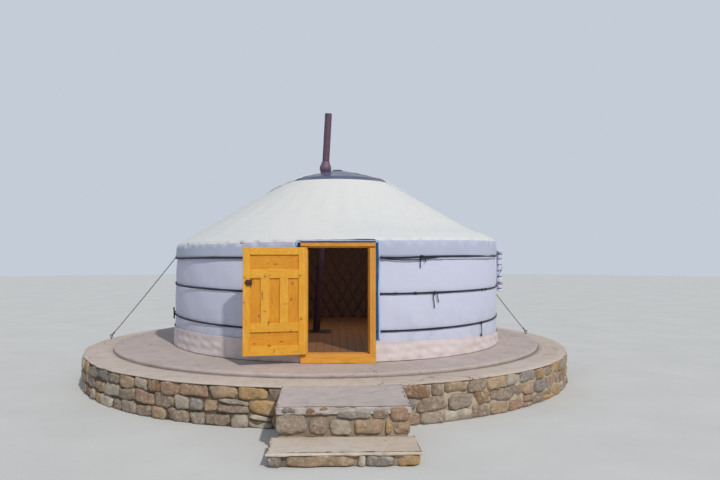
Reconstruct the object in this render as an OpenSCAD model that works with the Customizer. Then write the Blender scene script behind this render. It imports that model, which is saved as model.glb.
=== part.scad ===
// A round felt tent house (yurt) with an open panelled door, on a stone-edged round plinth.
// Millimetres. Z is up, the door looks to -Y, and the origin lies on the ground under the tent's centre.

/* [Show] */
// Which piece to draw, or all

/* [Plinth] */
// Height of the inner slab above the ground
slab_z = 570; // [480:5:700]
// How far the inner slab reaches beyond the wall's foot
slab_margin = 815; // [500:1:1200]
// Thickness of the inner slab
slab_t = 90; // [80:5:220]
// Width of the lower ring round the inner slab
ring_w = 455; // [320:5:600]
// Thickness of the stone edge wall
edge_t = 300; // [200:5:400]
// How far the outer ring lies below the inner slab
rim_drop = 50; // [10:5:60]
// How far the outer ring stands out over the stone wall
rim_lip = 15; // [5:1:40]
// Where the plinth's centre lies in X, beside the tent's centre
plinth_x = -150; // [-200:5:200]

/* [Steps] */
// How far right of the tent's centre the steps lie
steps_x = 45; // [-100:5:100]
// Width of the upper step
landing_w = 1410; // [1200:5:1800]
// How far the upper step stands out from the plinth
landing_d = 820; // [600:5:1200]
// How far the upper step lies below the outer ring
landing_drop = 10; // [0:1:60]
// How far the upper step falls from the plinth to its front
landing_fall = 45; // [0:5:100]
// Thickness of the upper step's slab
landing_t = 85; // [50:5:120]
// How far the slabs stand out over the stones below
nosing = 20; // [5:1:50]
// Width of the lower step
step_w = 1490; // [1300:5:2000]
// Depth of the lower step's tread
step_d = 525; // [350:5:700]
// Height of the lower step
step_h = 150; // [120:5:220]
// Thickness of the lower step's slab
step_t = 60; // [40:5:80]

/* [Floor] */
// Gap between the board floor and the lattice
floor_gap = 10; // [2:1:60]
// Thickness of the board floor
floor_t = 28; // [20:1:40]
// Height of the bearers under the boards
bearer_h = 70; // [50:1:100]
// Width of each bearer
bearer_w = 90; // [60:5:140]
// Number of bearers
bearer_n = 7; // [4:1:10]
// How far the outermost bearers lie inside the floor's edge
bearer_edge = 350; // [200:10:600]

/* [Wall lattice] */
// Outer radius of the lattice
khana_r = 2720; // [2500:5:3000]
// Thickness of one slat
slat_t = 13; // [9:1:16]
// Width of one slat
slat_w = 32; // [20:1:45]
// Lean of the slats from upright
slat_lean = 30; // [22:1:40]
// Width of the upright lath at each end of a section
end_lath_w = 38; // [25:1:60]
// Gap between two sections
khana_gap = 8; // [4:1:20]

/* [Wall cover] */
// Thickness of the felt and canvas wall cover at its foot
wall_t_foot = 83; // [70:1:110]
// Thickness of the wall cover at half height
wall_t_mid = 77; // [60:1:100]
// Thickness of the wall cover at the eave
wall_t_eave = 51; // [40:1:70]
// Height of the eave above the inner slab
eave_h = 1650; // [1600:5:1800]
// Height of the canvas skirt round the foot
skirt_h = 255; // [150:5:350]
// Thickness of the skirt, band and trims
cloth_t = 9; // [5:1:15]
// Height of the band that hangs from the eave
band_h = 230; // [120:5:300]

/* [Roof] */
// Height of the roof cover at the crown above the inner slab
crown_h = 2785; // [2600:5:2900]
// Outer radius of the crown rim
crown_r = 860; // [780:5:900]
// Thickness of the felt and canvas roof cover
cover_t = 45; // [25:1:60]
// Number of roof poles
pole_n = 72; // [60:4:76]
// Width of a pole across its flats
pole_d = 38; // [28:1:42]

/* [Crown] */
// Radial width of the crown rim
rim_w = 140; // [90:5:180]
// Depth of the crown rim at its outer side
rim_depth = 140; // [90:5:180]
// Rise of the glazing in degrees
glass_slope = 14; // [10:1:20]
// Thickness of the glazing
glass_t = 5; // [3:1:8]
// Radius of the crown's hub
hub_r = 90; // [60:5:110]
// Number of spokes
spoke_n = 8; // [4:4:8]
// Width of a spoke
spoke_w = 30; // [20:1:34]
// Depth of a spoke
spoke_h = 46; // [30:1:70]
// How far the glazing's skirt reaches down over the roof cover
glass_skirt = 90; // [40:5:140]
// Thickness of the crown's cloth flap
flap_t = 10; // [4:1:16]
// How far the flap reaches down the roof beyond the crown rim
flap_reach = 420; // [200:10:800]

/* [Chimney] */
// Outer diameter of the stove pipe
pipe_d = 125; // [100:1:140]
// Wall thickness of the pipe
pipe_t = 3; // [2:1:6]
// Where the pipe passes the crown, left of the centre
pipe_x = -220; // [-240:5:-200]
// Lean of the pipe
pipe_lean = 3.1; // [0:0.1:4]
// How far the pipe stands up over the glazing
pipe_stand = 1075; // [700:5:1500]
// Outer diameter of the collar
collar_d = 210; // [180:5:240]
// Height of the collar
collar_h = 200; // [120:5:260]
// Side of the iron plate under the pipe
plate_w = 520; // [300:10:800]
// Thickness of the iron plate
plate_t = 6; // [3:1:10]

/* [Door frame] */
// Clear width between the jambs
door_clear_w = 825; // [760:1:900]
// Clear height over the sill
door_clear_h = 1448; // [1400:1:1460]
// Width of a jamb
jamb_w = 102; // [70:1:110]
// Height of the head
head_h = 70; // [50:1:75]
// Height of the sill
sill_h = 122; // [90:1:130]
// How far the sill's foot stands in front of its top
sill_slant = 25; // [0:5:90]
// Depth of the frame from front to back
frame_d = 180; // [150:5:220]
// How far the frame's front face stands before the wall's foot
frame_proud = 34; // [25:1:110]
// Lap of the leaf over the frame
rebate = 21; // [15:1:25]
// Thickness of the door leaf
leaf_t = 40; // [30:1:50]
// Gap round the closed leaf
leaf_gap = 7; // [6:1:10]
// Gap over the closed leaf, inside the head's rebate
leaf_head_gap = 16; // [6:1:18]
// Diameter of the hinge knuckles
pin_d = 12; // [10:1:14]
// How far the leaf stands open, from closed
open_deg = 169; // [0:1:178]

/* [Door leaf] */
// Width of the free stile
stile_free = 95; // [60:1:120]
// Width of the hinge stile
stile_hinge = 112; // [80:1:140]
// Height of the bottom rail
rail_foot = 130; // [90:1:180]
// Height of the bottom panel
panel_low = 185; // [120:1:260]
// Height of the rails between the panels
rail_mid = 117; // [80:1:140]
// Height of the middle panels
panel_mid = 600; // [400:5:640]
// Height of the top panel
panel_top = 197; // [120:1:230]
// Width of the uprights between the middle panels
mullion_w = 115; // [60:1:130]
// Thickness of the panels
panel_t = 16; // [10:1:22]
// Height of the lock above the leaf's foot
lock_z = 940; // [800:5:1100]
// Width of the lock box
lock_w = 78; // [60:1:120]
// Height of the lock box
lock_h = 75; // [60:1:140]
// Thickness of the lock box
lock_t = 30; // [18:1:36]

/* [Ropes] */
// Width of the straps round the wall
strap_w = 30; // [15:1:50]
// Thickness of the straps
strap_t = 8; // [4:1:14]
// Height of the middle strap at the sides
strap_mid = 985; // [850:5:1150]
// Fall of the middle strap towards the door
strap_mid_fall = 45; // [0:5:120]
// Height of the lower strap at the sides
strap_low = 490; // [400:5:600]
// Fall of the lower strap towards the door
strap_low_fall = 65; // [0:5:120]
// Fall of both from the left side to the right
strap_lean = 30; // [0:5:60]
// Thickness of the loose ends of the straps
tail_d = 11; // [6:1:14]
// Diameter of the guy ropes
guy_d = 14; // [8:1:24]
// How far behind the tent's centre the left anchor stands
anchor_left_y = 300; // [0:10:1400]
// How far the left anchor stands inside the plinth's edge
anchor_left_in = 110; // [110:5:300]
// How far behind the tent's centre the right anchor stands
anchor_right_y = 650; // [0:10:1400]
// How far the right anchor stands inside the plinth's edge
anchor_right_in = 250; // [110:5:300]
// Direction of the left guy's top seen from the centre
guy_left_turn = 188; // [175:1:200]
// Direction of the right guy's top seen from the centre
guy_right_turn = 6; // [0:1:20]
// Diameter of the rolled cover at the right side
roll_d = 95; // [60:1:130]
// Length of the rolled cover
roll_l = 700; // [400:10:800]
// Direction of the rolled cover seen from the centre
roll_turn = -12; // [-30:1:-5]
// Height of the rolled cover's foot above the inner slab
roll_z = 850; // [600:10:900]

/* [Trim beside the door] */
// Width of the blue binding
trim_w = 72; // [25:1:90]
// How far the binding's lower end lies over the skirt
trim_lift = 50; // [10:5:150]

/* [Hidden] */
$fn = 180;
eye_r = 26;
eye_wire = 7;
eye_stem = 26;
seat = 0.3;
big = 12000;
fine_fn = 4 * $fn;
tongue_in = 15;
wall_r_foot = khana_r + wall_t_foot;
wall_r_mid = khana_r + wall_t_mid;
wall_r_eave = khana_r + wall_t_eave;
slab_r = wall_r_foot + slab_margin;
plinth_r = slab_r + ring_w;
frame_y = wall_r_foot + frame_proud;
flap_r = crown_r + flap_reach;
floor_r = khana_r - 2 * slat_t + 1 - floor_gap;
rim_z = slab_z - rim_drop;
base_top = slab_z - slab_t;
landing_z = rim_z - landing_drop;
landing_foot = landing_z - landing_fall - landing_t;
floor_z = slab_z + bearer_h + floor_t;
roof_run = wall_r_eave - crown_r;
roof_tan = (crown_h - eave_h) / roof_run;
roof_deg = atan(roof_tan);
cover_v = cover_t / cos(roof_deg);
pole_v = pole_d / cos(roof_deg);
pole_pitch = 360 / pole_n;
khana_top = under_pole(khana_r - slat_t) + slab_z;
frame_w = door_clear_w + 2 * jamb_w;
frame_h = sill_h + door_clear_h + head_h;
half_door = frame_w / 2;
door_deg = asin((half_door + seat) / khana_r);
leaf_w = door_clear_w + 2 * rebate - 2 * leaf_gap;
leaf_z = slab_z + sill_h + leaf_gap;
leaf_h = door_clear_h + rebate - leaf_gap - leaf_head_gap;
leaf_x = -leaf_w / 2;
hinge_x = leaf_x - leaf_gap / 2;
hinge_y = -frame_y - pin_d / 2;
stop_d = leaf_t + 6;
gap_deg = khana_gap / khana_r * 180 / PI;
seam_deg = seat / khana_r * 180 / PI;
glass_tan = tan(glass_slope);
skirt_r = crown_r + glass_skirt;
rim_stand = 6;
crown_seat_z = slab_z + crown_h + rim_stand;
wall_span = 360 - 2 * door_deg;
wall_from = -90 + door_deg;
wall_n = 5;
khana_n = 5;
bend_n = 7;
pipe_at_z = glass_under(-pipe_x);
pole_l = 2 * roof_run / cos(roof_deg);
slat_l = 2 * (khana_top - slab_z) / cos(slat_lean);
hub_h = 70;
hub_cap = 12;

// Outer radius of the wall cover at height h above the inner slab.
function wall_r(h) = h < strap_mid
  ? wall_r_foot + (wall_r_mid - wall_r_foot) * h / strap_mid
  : wall_r_mid + (wall_r_eave - wall_r_mid) * (h - strap_mid) / (eave_h - strap_mid);

// Heights above the inner slab of the roof's lines at radius r.
function roof_top(r) = eave_h + (wall_r_eave - r) * roof_tan;
function cover_under(r) = roof_top(r) - cover_v;
function under_pole(r) = cover_under(r) - seat - pole_v;

module turn(a, span) {
  rotate([0, 0, a])
    rotate_extrude(angle = span)
      children();
}

module tube(ro, ri, z0, z1) {
  difference() {
    translate([0, 0, z0])
      cylinder(r = ro, h = z1 - z0);
    translate([0, 0, z0 - 10])
      cylinder(r = ri, h = z1 - z0 + 20);
  }
}

// A box given by its two corners.
module block(a, b) {
  translate(a)
    cube(b - a);
}

// Everything in front of the wall between the frame's outer sides.
module door_gap(extra = 0, top = big) {
  block([-half_door - seat - extra, -big / 2, -10], [half_door + seat + extra, 0, top]);
}

module plinth_fill() {
  color("#9b9285")
    translate([plinth_x, 0, 0])
      cylinder(r = plinth_r - edge_t, h = base_top);
}

module plinth_edge_wall() {
  color("#93866f")
    translate([plinth_x, 0, 0])
      tube(plinth_r, plinth_r - edge_t, 0, base_top);
}

module plinth_outer_ring() {
  color("#bdaea4")
    translate([plinth_x, 0, 0])
      tube(plinth_r + rim_lip, slab_r, base_top, rim_z);
}

module floor_slab() {
  color("#c2b6b5")
    translate([plinth_x, 0, base_top])
      cylinder(r = slab_r, h = slab_t);
}

module step_block(w, y0, y1, z0, z1, r) {
  difference() {
    block([steps_x - w / 2, -y1, z0], [steps_x + w / 2, -y0, z1]);
    translate([plinth_x, 0, z0 - 10])
      cylinder(r = r, h = z1 - z0 + 20, $fn = fine_fn);
  }
}

module landing_stones() {
  color("#8f8570")
    step_block(landing_w, plinth_r - edge_t, plinth_r + landing_d, 0, landing_foot, plinth_r);
}

// The upper step's slab, which falls towards its front.
module landing_slab() {
  front = plinth_r + landing_d + nosing;
  color("#b1a5a5")
    difference() {
      translate([steps_x - landing_w / 2 - nosing, 0, 0])
        rotate([90, 0, 90])
          linear_extrude(height = landing_w + 2 * nosing)
            polygon([[-front, landing_foot], [-plinth_r + edge_t, landing_foot],
              [-plinth_r + edge_t, landing_z], [-plinth_r, landing_z], [-front, landing_z - landing_fall]]);
      translate([plinth_x, 0, landing_foot - 10])
        cylinder(r = plinth_r, h = slab_z, $fn = fine_fn);
      translate([plinth_x, 0, base_top])
        cylinder(r = plinth_r + rim_lip, h = slab_t, $fn = fine_fn);
    }
}

module lower_step_stones() {
  color("#968b73")
    block([steps_x - step_w / 2, -plinth_r - landing_d - step_d, 0],
      [steps_x + step_w / 2, -plinth_r - landing_d, step_h - step_t]);
}

module lower_step_slab() {
  color("#b8aca6")
    block([steps_x - step_w / 2 - nosing, -plinth_r - landing_d - step_d - nosing, step_h - step_t],
      [steps_x + step_w / 2 + nosing, -plinth_r - landing_d, step_h]);
}

module floor_bearers() {
  color("#9a7446")
    intersection() {
      translate([0, 0, slab_z])
        cylinder(r = floor_r - bearer_w / 2, h = bearer_h);
      for (k = [0:bearer_n - 1])
        translate([(k - (bearer_n - 1) / 2) * 2 * (floor_r - bearer_edge) / (bearer_n - 1), 0, slab_z + bearer_h / 2])
          cube([bearer_w, big, bearer_h], center = true);
    }
}

module board_floor() {
  color("#b28352")
    translate([0, 0, slab_z + bearer_h])
      difference() {
        union() {
          cylinder(r = floor_r, h = floor_t);
          block([-half_door + tongue_in, -frame_y, 0], [half_door - tongue_in, -floor_r + frame_d, floor_t]);
        }
        block([-half_door - khana_gap, -big / 2, -1], [half_door + khana_gap, -frame_y + frame_d + seat, floor_t + 1]);
      }
}

module door_sill() {
  color("#d7953a")
    translate([-half_door, 0, 0])
      rotate([90, 0, 90])
        linear_extrude(height = frame_w)
          polygon([[-frame_y + frame_d, slab_z], [-frame_y + frame_d, slab_z + sill_h],
            [-frame_y, slab_z + sill_h], [-frame_y - sill_slant, slab_z]]);
}

// Jambs and head as one frame, rebated in front for the leaf.
module door_frame() {
  color("#d6983f")
    difference() {
      block([-half_door, -frame_y, slab_z + sill_h], [half_door, -frame_y + frame_d, slab_z + frame_h]);
      block([-door_clear_w / 2, -frame_y - 10, slab_z],
        [door_clear_w / 2, -frame_y + frame_d + 10, slab_z + sill_h + door_clear_h]);
      block([-door_clear_w / 2 - rebate, -frame_y - 10, slab_z],
        [door_clear_w / 2 + rebate, -frame_y + stop_d, slab_z + sill_h + door_clear_h + rebate]);
    }
}

hinge_at = [0.13, 0.5, 0.87];
knuckle_h = 36;
plate_reach = 48;
hinge_plate_t = 3;
lock_in = 20;

// The fixed half of each hinge, on the left jamb's front face.
module hinge_plates() {
  color("#6b6258")
    for (k = hinge_at)
      translate([hinge_x, 0, leaf_z + leaf_h * k]) {
        for (z = [-knuckle_h * 1.5 - 6, knuckle_h / 2 + 6])
          translate([0, hinge_y - seat, z])
            cylinder(d = pin_d, h = knuckle_h);
        for (z = [-knuckle_h * 1.5 - 6, knuckle_h / 2 + 6])
          block([-plate_reach, -frame_y - hinge_plate_t - seat, z], [-3.5, -frame_y - seat, z + knuckle_h]);
      }
}

// Places a piece drawn on the closed leaf: X from the hinge side, Y into the tent, Z from the leaf's foot.
module on_leaf() {
  translate([hinge_x, hinge_y, leaf_z])
    rotate([0, 0, -open_deg])
      translate([leaf_x - hinge_x, -frame_y - hinge_y, 0])
        children();
}

// Heights of the rails and panels, from the foot up.
z_low = rail_foot;
z_rail_1 = z_low + panel_low;
z_mid = z_rail_1 + rail_mid;
z_rail_2 = z_mid + panel_mid;
z_top = z_rail_2 + rail_mid;
z_head = z_top + panel_top;
panel_from = stile_hinge;
panel_to = leaf_w - stile_free;
mid_w = (panel_to - panel_from - 2 * mullion_w) / 3;

module panel_boxes(grow, y0, y1) {
  block([panel_from - grow, y0, z_low - grow], [panel_to + grow, y1, z_rail_1 + grow]);
  for (k = [0:2])
    block([panel_from + k * (mid_w + mullion_w) - grow, y0, z_mid - grow],
      [panel_from + k * (mid_w + mullion_w) + mid_w + grow, y1, z_rail_2 + grow]);
  block([panel_from - grow, y0, z_top - grow], [panel_to + grow, y1, z_head + grow]);
}

module door_leaf_frame() {
  color("#d2913a")
    on_leaf()
      difference() {
        block([0, 0, 0], [leaf_w, leaf_t, leaf_h]);
        panel_boxes(0, -5, leaf_t + 5);
      }
}

module door_leaf_panels() {
  color("#ce8a1e")
    on_leaf()
      panel_boxes(-seat, (leaf_t - panel_t) / 2, (leaf_t + panel_t) / 2);
}

module door_lock() {
  color("#4f2a20")
    on_leaf() {
      block([leaf_w - rebate - lock_in - lock_w, leaf_t + seat, lock_z],
        [leaf_w - rebate - lock_in, leaf_t + seat + lock_t, lock_z + lock_h]);
      translate([leaf_w - rebate - lock_in - lock_w + 22, leaf_t + seat + lock_t + 9, lock_z + lock_h / 2])
        rotate([90, 0, 0])
          cylinder(d = 16, h = 18, center = true);
    }
}

module door_handle() {
  color("#3a3a3d")
    on_leaf() {
      for (z = [lock_z - 40, lock_z + 100])
        translate([leaf_w - 42, -16 - seat, z])
          rotate([90, 0, 0])
            cylinder(d = 12, h = 32, center = true);
      translate([leaf_w - 42, -30, lock_z - 60])
        cylinder(d = 14, h = 180);
    }
}

// The moving half of each hinge, on the leaf's outer face.
module door_hinges() {
  color("#6b6258")
    for (k = hinge_at) {
      translate([hinge_x, hinge_y, leaf_z + leaf_h * k - knuckle_h / 2])
        cylinder(d = pin_d, h = knuckle_h);
      on_leaf()
        block([-leaf_gap / 2, -hinge_plate_t - seat, leaf_h * k - knuckle_h / 2],
          [plate_reach, -seat, leaf_h * k + knuckle_h / 2]);
    }
}

// Where section i of the lattice starts, and how far it reaches round.
khana_span = wall_span / khana_n;
function khana_from(i) = wall_from + (i - 1) * khana_span;
function arc(r, a0, a1) = [for (k = [0:bend_n]) let (a = a0 + (a1 - a0) * k / bend_n) [r * cos(a), r * sin(a)]];

// An upright band that follows the wall in flat lengths, as the slats do between their ties.
module band(i, ro, t) {
  a0 = khana_from(i) + gap_deg / 2;
  a1 = khana_from(i) + khana_span - gap_deg / 2;
  translate([0, 0, slab_z])
    linear_extrude(height = khana_top - slab_z)
      polygon(concat(arc(ro, a0, a1), arc(ro - t, a1, a0)));
}

// One layer of parallel slats, cut out of the band by leaning bars.
module slat_layer(i, side) {
  reach = atan((khana_top - slab_z) / 2 * tan(slat_lean) / khana_r) + 1;
  first = floor((khana_from(i) - reach) / pole_pitch);
  last = ceil((khana_from(i) + khana_span + reach) / pole_pitch);
  intersection() {
    band(i, side > 0 ? khana_r : khana_r - slat_t + 1, slat_t);
    for (k = [first:last])
      rotate([0, 0, k * pole_pitch])
        translate([khana_r - slat_t, 0, (slab_z + khana_top) / 2])
          rotate([side * slat_lean, 0, 0])
            cube([12 * slat_t, slat_w, slat_l], center = true);
  }
}

// The upright laths that close a section at both ends.
module end_laths(i) {
  a0 = khana_from(i) + gap_deg / 2;
  a1 = khana_from(i) + khana_span - gap_deg / 2;
  intersection() {
    band(i, khana_r, 2 * slat_t - 1);
    union() {
      rotate([0, 0, a0])
        block([khana_r - 4 * slat_t, -end_lath_w, 0], [khana_r + slat_t, end_lath_w, big]);
      rotate([0, 0, a1])
        block([khana_r - 4 * slat_t, -end_lath_w, 0], [khana_r + slat_t, end_lath_w, big]);
    }
  }
}

module khana(i) {
  color("#a9713d") {
    slat_layer(i, 1);
    slat_layer(i, -1);
    end_laths(i);
  }
}

module khana_1() {
  khana(1);
}

module khana_2() {
  khana(2);
}

module khana_3() {
  khana(3);
}

module khana_4() {
  khana(4);
}

module khana_5() {
  khana(5);
}

// One pole in line with X, cut off flat at the crown rim, at the lattice's outer side and on its top.
module pole() {
  mid_r = (khana_r + crown_r) / 2;
  difference() {
    translate([mid_r, 0, slab_z + cover_under(mid_r) - seat - pole_v / 2])
      rotate([0, 90 + roof_deg, 0])
        rotate([0, 0, 22.5])
          cylinder(r = pole_d / 2 / cos(22.5), h = pole_l, center = true, $fn = 8);
    block([-pole_l, -pole_d, 0], [crown_r + seat, pole_d, big]);
    block([khana_r, -pole_d, 0], [pole_l + big, pole_d, big]);
    block([0, -pole_d, -big], [pole_l + big, pole_d, khana_top]);
  }
}

// The poles of one half, from the crown rim down to the lattice or the door frame.
module poles(from) {
  color("#b5642c")
    difference() {
      for (k = [0:pole_n / 2 - 1])
        rotate([0, 0, from + (k + 0.5) * pole_pitch])
          pole();
      block([-half_door - 20, -frame_y - 10, 0],
        [half_door + 20, -frame_y + frame_d + seat, slab_z + frame_h + seat]);
    }
}

module roof_poles_left() {
  poles(90);
}

module roof_poles_right() {
  poles(-90);
}

// Height of the glazing's underside at radius r.
function glass_under(r) = crown_seat_z + (crown_r - r) * glass_tan;

module crown_rim() {
  color("#a85a2a")
    rotate_extrude()
      polygon([[crown_r - rim_w, crown_seat_z - rim_depth], [crown_r, crown_seat_z - rim_depth],
        [crown_r, crown_seat_z], [crown_r - rim_w, glass_under(crown_r - rim_w)]]);
}

module crown_spokes() {
  color("#a85a2a")
    union() {
      translate([0, 0, glass_under(hub_r) - hub_h])
        cylinder(r = hub_r, h = hub_h + glass_t + hub_cap);
      difference() {
        intersection() {
          rotate_extrude()
            polygon([[0, glass_under(0) - spoke_h], [crown_r, glass_under(crown_r) - spoke_h],
              [crown_r, glass_under(crown_r)], [0, glass_under(0)]]);
          translate([0, 0, slab_z])
            cylinder(r = crown_r - rim_w - seat, h = big);
          for (k = [0:spoke_n / 2 - 1])
            rotate([0, 0, (k + 0.5) * 360 / spoke_n])
              translate([0, 0, crown_seat_z])
                cube([2 * crown_r, spoke_w, 2 * crown_r], center = true);
        }
        translate([0, 0, slab_z])
          cylinder(r = hub_r / 2, h = big);
      }
    }
}

module along_pipe() {
  translate([pipe_x, 0, pipe_at_z])
    rotate([0, pipe_lean, 0])
      children();
}

module crown_glazing() {
  color("#3c4250", 0.85)
    difference() {
      rotate_extrude()
        polygon([[crown_r, glass_under(crown_r) + seat],
          [skirt_r, slab_z + roof_top(skirt_r) + seat],
          [skirt_r, slab_z + roof_top(skirt_r) + seat + glass_t],
          [crown_r + 2, glass_under(crown_r) + seat + glass_t],
          [hub_r + seat, glass_under(hub_r) + seat + glass_t],
          [hub_r + seat, glass_under(hub_r) + seat]]);
      along_pipe()
        cylinder(d = pipe_d + 4, h = 4 * pipe_d, center = true);
    }
}

// The flap seen from above: its front edge passes behind the stove pipe, and its corners lie on the roof.
flap_plan = [[-flap_r, 40], [-560, -60], [-370, 70], [-345, 160], [-110, 160], [60, 110], [flap_r, -90],
  [0.75 * flap_r, 0.62 * flap_r], [0, flap_r], [-0.75 * flap_r, 0.62 * flap_r]];

// The flap lies over the back of the glazing and on down the roof cover.
module crown_flap() {
  lift = glass_t + 2 * seat;
  low = slab_z + roof_top(skirt_r) + lift;
  color("#e8e8ea")
    intersection() {
      rotate_extrude()
        polygon([[hub_r + 2, glass_under(hub_r + 2) + lift],
          [crown_r + glass_t, glass_under(crown_r) + lift], [skirt_r + glass_t, low],
          [flap_r, slab_z + roof_top(flap_r) + seat],
          [flap_r, slab_z + roof_top(flap_r) + seat + flap_t],
          [skirt_r + glass_t + 4, low + flap_t],
          [crown_r + glass_t + 4, glass_under(crown_r) + lift + flap_t],
          [hub_r + 2, glass_under(hub_r + 2) + lift + flap_t]]);
      translate([0, 0, slab_z])
        linear_extrude(height = big)
          polygon(flap_plan);
    }
}

module wall_cover(i) {
  color("#c3c7db")
    difference() {
      turn(wall_from + (i - 1) * wall_span / wall_n + seam_deg, wall_span / wall_n - 2 * seam_deg)
        polygon([[khana_r + seat, slab_z + seat], [wall_r(0), slab_z + seat],
          [wall_r(strap_mid), slab_z + strap_mid],
          [wall_r_eave, slab_z + cover_under(wall_r_eave) - seat],
          [khana_r + seat, slab_z + cover_under(khana_r) - seat]]);
      door_gap();
    }
}

module wall_cover_1() {
  wall_cover(1);
}

module wall_cover_2() {
  wall_cover(2);
}

module wall_cover_3() {
  wall_cover(3);
}

module wall_cover_4() {
  wall_cover(4);
}

module wall_cover_5() {
  wall_cover(5);
}

// A cloth ring on the wall cover between two heights.
module wall_ring(h0, h1, t, gap = seat) {
  hs = h0 < strap_mid && h1 > strap_mid ? [h0, strap_mid, h1] : [h0, h1];
  n = len(hs);
  rotate_extrude()
    polygon([for (i = [0:2 * n - 1])
      i < n ? [wall_r(hs[i]) + gap, slab_z + hs[i]]
            : [wall_r(hs[2 * n - 1 - i]) + gap + t, slab_z + hs[2 * n - 1 - i]]]);
}

module base_skirt() {
  color("#c8bcbd")
    difference() {
      wall_ring(seat, skirt_h, cloth_t);
      door_gap();
    }
}

module eave_band() {
  color("#b1b7d1")
    difference() {
      wall_ring(eave_h - band_h, eave_h - 3, cloth_t);
      door_gap(trim_w);
    }
}

module roof_cover(quarter) {
  color("#dfe3e8")
    difference() {
      turn(-135 + quarter * 90 + seam_deg, 90 - 2 * seam_deg)
        polygon([[wall_r_eave, slab_z + cover_under(wall_r_eave)], [wall_r_eave, slab_z + roof_top(wall_r_eave)],
          [crown_r + seat, slab_z + roof_top(crown_r + seat)],
          [crown_r + seat, slab_z + cover_under(crown_r + seat)]]);
      if (quarter == 0)
        block([-half_door - seat, -frame_y - 10, 0],
          [half_door + seat, -frame_y + frame_d + seat, slab_z + frame_h + seat]);
    }
}

module roof_cover_front() {
  roof_cover(0);
}

module roof_cover_right() {
  roof_cover(1);
}

module roof_cover_back() {
  roof_cover(2);
}

module roof_cover_left() {
  roof_cover(3);
}

// The leaning slice of space that a strap runs in, lower at the door by fall and at the right by lean.
module strap_zone(h, fall, lean, w) {
  translate([0, 0, slab_z + h])
    rotate([atan(fall / wall_r_mid), atan(lean / wall_r_mid), 0])
      cylinder(r = 2 * khana_r, h = w, center = true);
}

// A flat strap round the wall.
module strap(h, fall, lean, out) {
  color("#4a4e63")
    difference() {
      intersection() {
        wall_ring(max(h - fall - 100, 1), min(h + fall + 100, eave_h), strap_t, out);
        strap_zone(h, fall, lean, strap_w);
      }
      door_gap(h > strap_mid ? trim_w + seat : 0);
    }
}

module wall_straps() {
  strap(eave_h - band_h + 18, 0, 0, cloth_t + 2 * seat);
  strap(strap_mid, strap_mid_fall, strap_lean, seat);
  strap(strap_low, strap_low_fall, strap_lean, seat);
}

// Height of a strap in the direction a, seen from the centre.
function strap_h(h, fall, lean, a) = h + fall * sin(a) - lean * cos(a);

// Routes of the loose ends from their knots: sideways, out from the strap's face, and down.
tail_long = [[0, 0, 8], [-2, 3, -25], [3, 4, -65], [2, 1, -110], [8, -2, -160]];
tail_short = [[6, 0, 6], [22, 4, -18], [36, 3, -48], [42, 0, -80]];
tail_mid_long = [[-8, 0, 8], [-6, 4, -40], [2, 5, -95], [12, 2, -155], [20, -2, -220]];
tail_mid_short = [[10, 0, 6], [18, 4, -35], [30, 4, -85], [44, 0, -140]];
tail_low = [[0, 0, 8], [-4, 4, -45], [-2, 7, -95], [-14, 9, -150], [-20, 8, -190]];

// A cord swept along its points, eight sides round.
module cord(points, d) {
  n = len(points);
  rings = [for (i = [0:n - 1])
    let (v = points[min(i + 1, n - 1)] - points[max(i - 1, 0)], t = v / norm(v),
      a = cross(t, [0, 1, 0]) / norm(cross(t, [0, 1, 0])), b = cross(t, a))
    for (k = [0:7]) points[i] + d / 2 * (cos(k * 45) * a + sin(k * 45) * b)];
  sides = [for (i = [0:n - 2], k = [0:7], half = [0, 1])
    let (p = i * 8 + k, q = i * 8 + (k + 1) % 8)
    half == 0 ? [p, p + 8, q] : [q, p + 8, q + 8]];
  polyhedron(points = rings,
    faces = concat([[for (k = [0:7]) k]], sides, [[for (k = [7:-1:0]) (n - 1) * 8 + k]]));
}

// Hangs a loose end on a strap's outer face, in the direction a, at height h.
module tail(a, h, out, route) {
  r = wall_r(h) + out + strap_t + tail_d / 2 + seat;
  translate([r * cos(a), r * sin(a), slab_z + h])
    rotate([0, 0, a + 90])
      cord([for (p = route) [p.x, -p.y, p.z]], tail_d);
}

module strap_tails() {
  color("#4a4e63") {
    tail(-65.5, left_h, cloth_t + 2 * seat, tail_long);
    tail(-64.5, left_h, cloth_t + 2 * seat, tail_short);
    tail(-61, strap_h(strap_mid, strap_mid_fall, strap_lean, -61), 0, tail_mid_long);
    tail(-60, strap_h(strap_mid, strap_mid_fall, strap_lean, -60), 0, tail_mid_short);
    tail(-38, strap_h(strap_low, strap_low_fall, strap_lean, -38), 0, tail_low);
  }
}

// A straight rope between two points.
module rope(a, b, d) {
  v = b - a;
  translate(a)
    rotate([0, acos(v.z / norm(v)), atan2(v.y, v.x)])
      cylinder(d = d, h = norm(v));
}

function anchor_at(side, y, r) = [plinth_x + side * sqrt(r * r - y * y), y, rim_z];
function anchor(side) = side < 0
  ? anchor_at(side, anchor_left_y, plinth_r - anchor_left_in)
  : anchor_at(side, anchor_right_y, plinth_r - anchor_right_in);
function eye(side) = anchor(side) + [0, 0, eye_stem + eye_r];
function on_wall(r, turn, h) = [r * cos(turn), r * sin(turn), slab_z + h];
left_h = eave_h - band_h + 18;
left_r = wall_r(left_h) + cloth_t + strap_t + 3 * seat;
right_r = wall_r(strap_mid) + strap_t + 2 * seat;
guy_left_top = on_wall(left_r, guy_left_turn, left_h);
guy_right_top = on_wall(right_r, guy_right_turn,
  strap_h(strap_mid, strap_mid_fall, strap_lean, guy_right_turn));

module guy(top, low, r) {
  v = top - low;
  difference() {
    rope(low + v / norm(v) * (eye_r + eye_wire + seat), top + v / norm(v) * 30, guy_d);
    translate([0, 0, slab_z])
      cylinder(r = r, h = eave_h);
  }
}

module guy_ropes() {
  color("#5d606e") {
    guy(guy_left_top, eye(-1), left_r);
    guy(guy_right_top, eye(1), right_r);
  }
}

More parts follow.
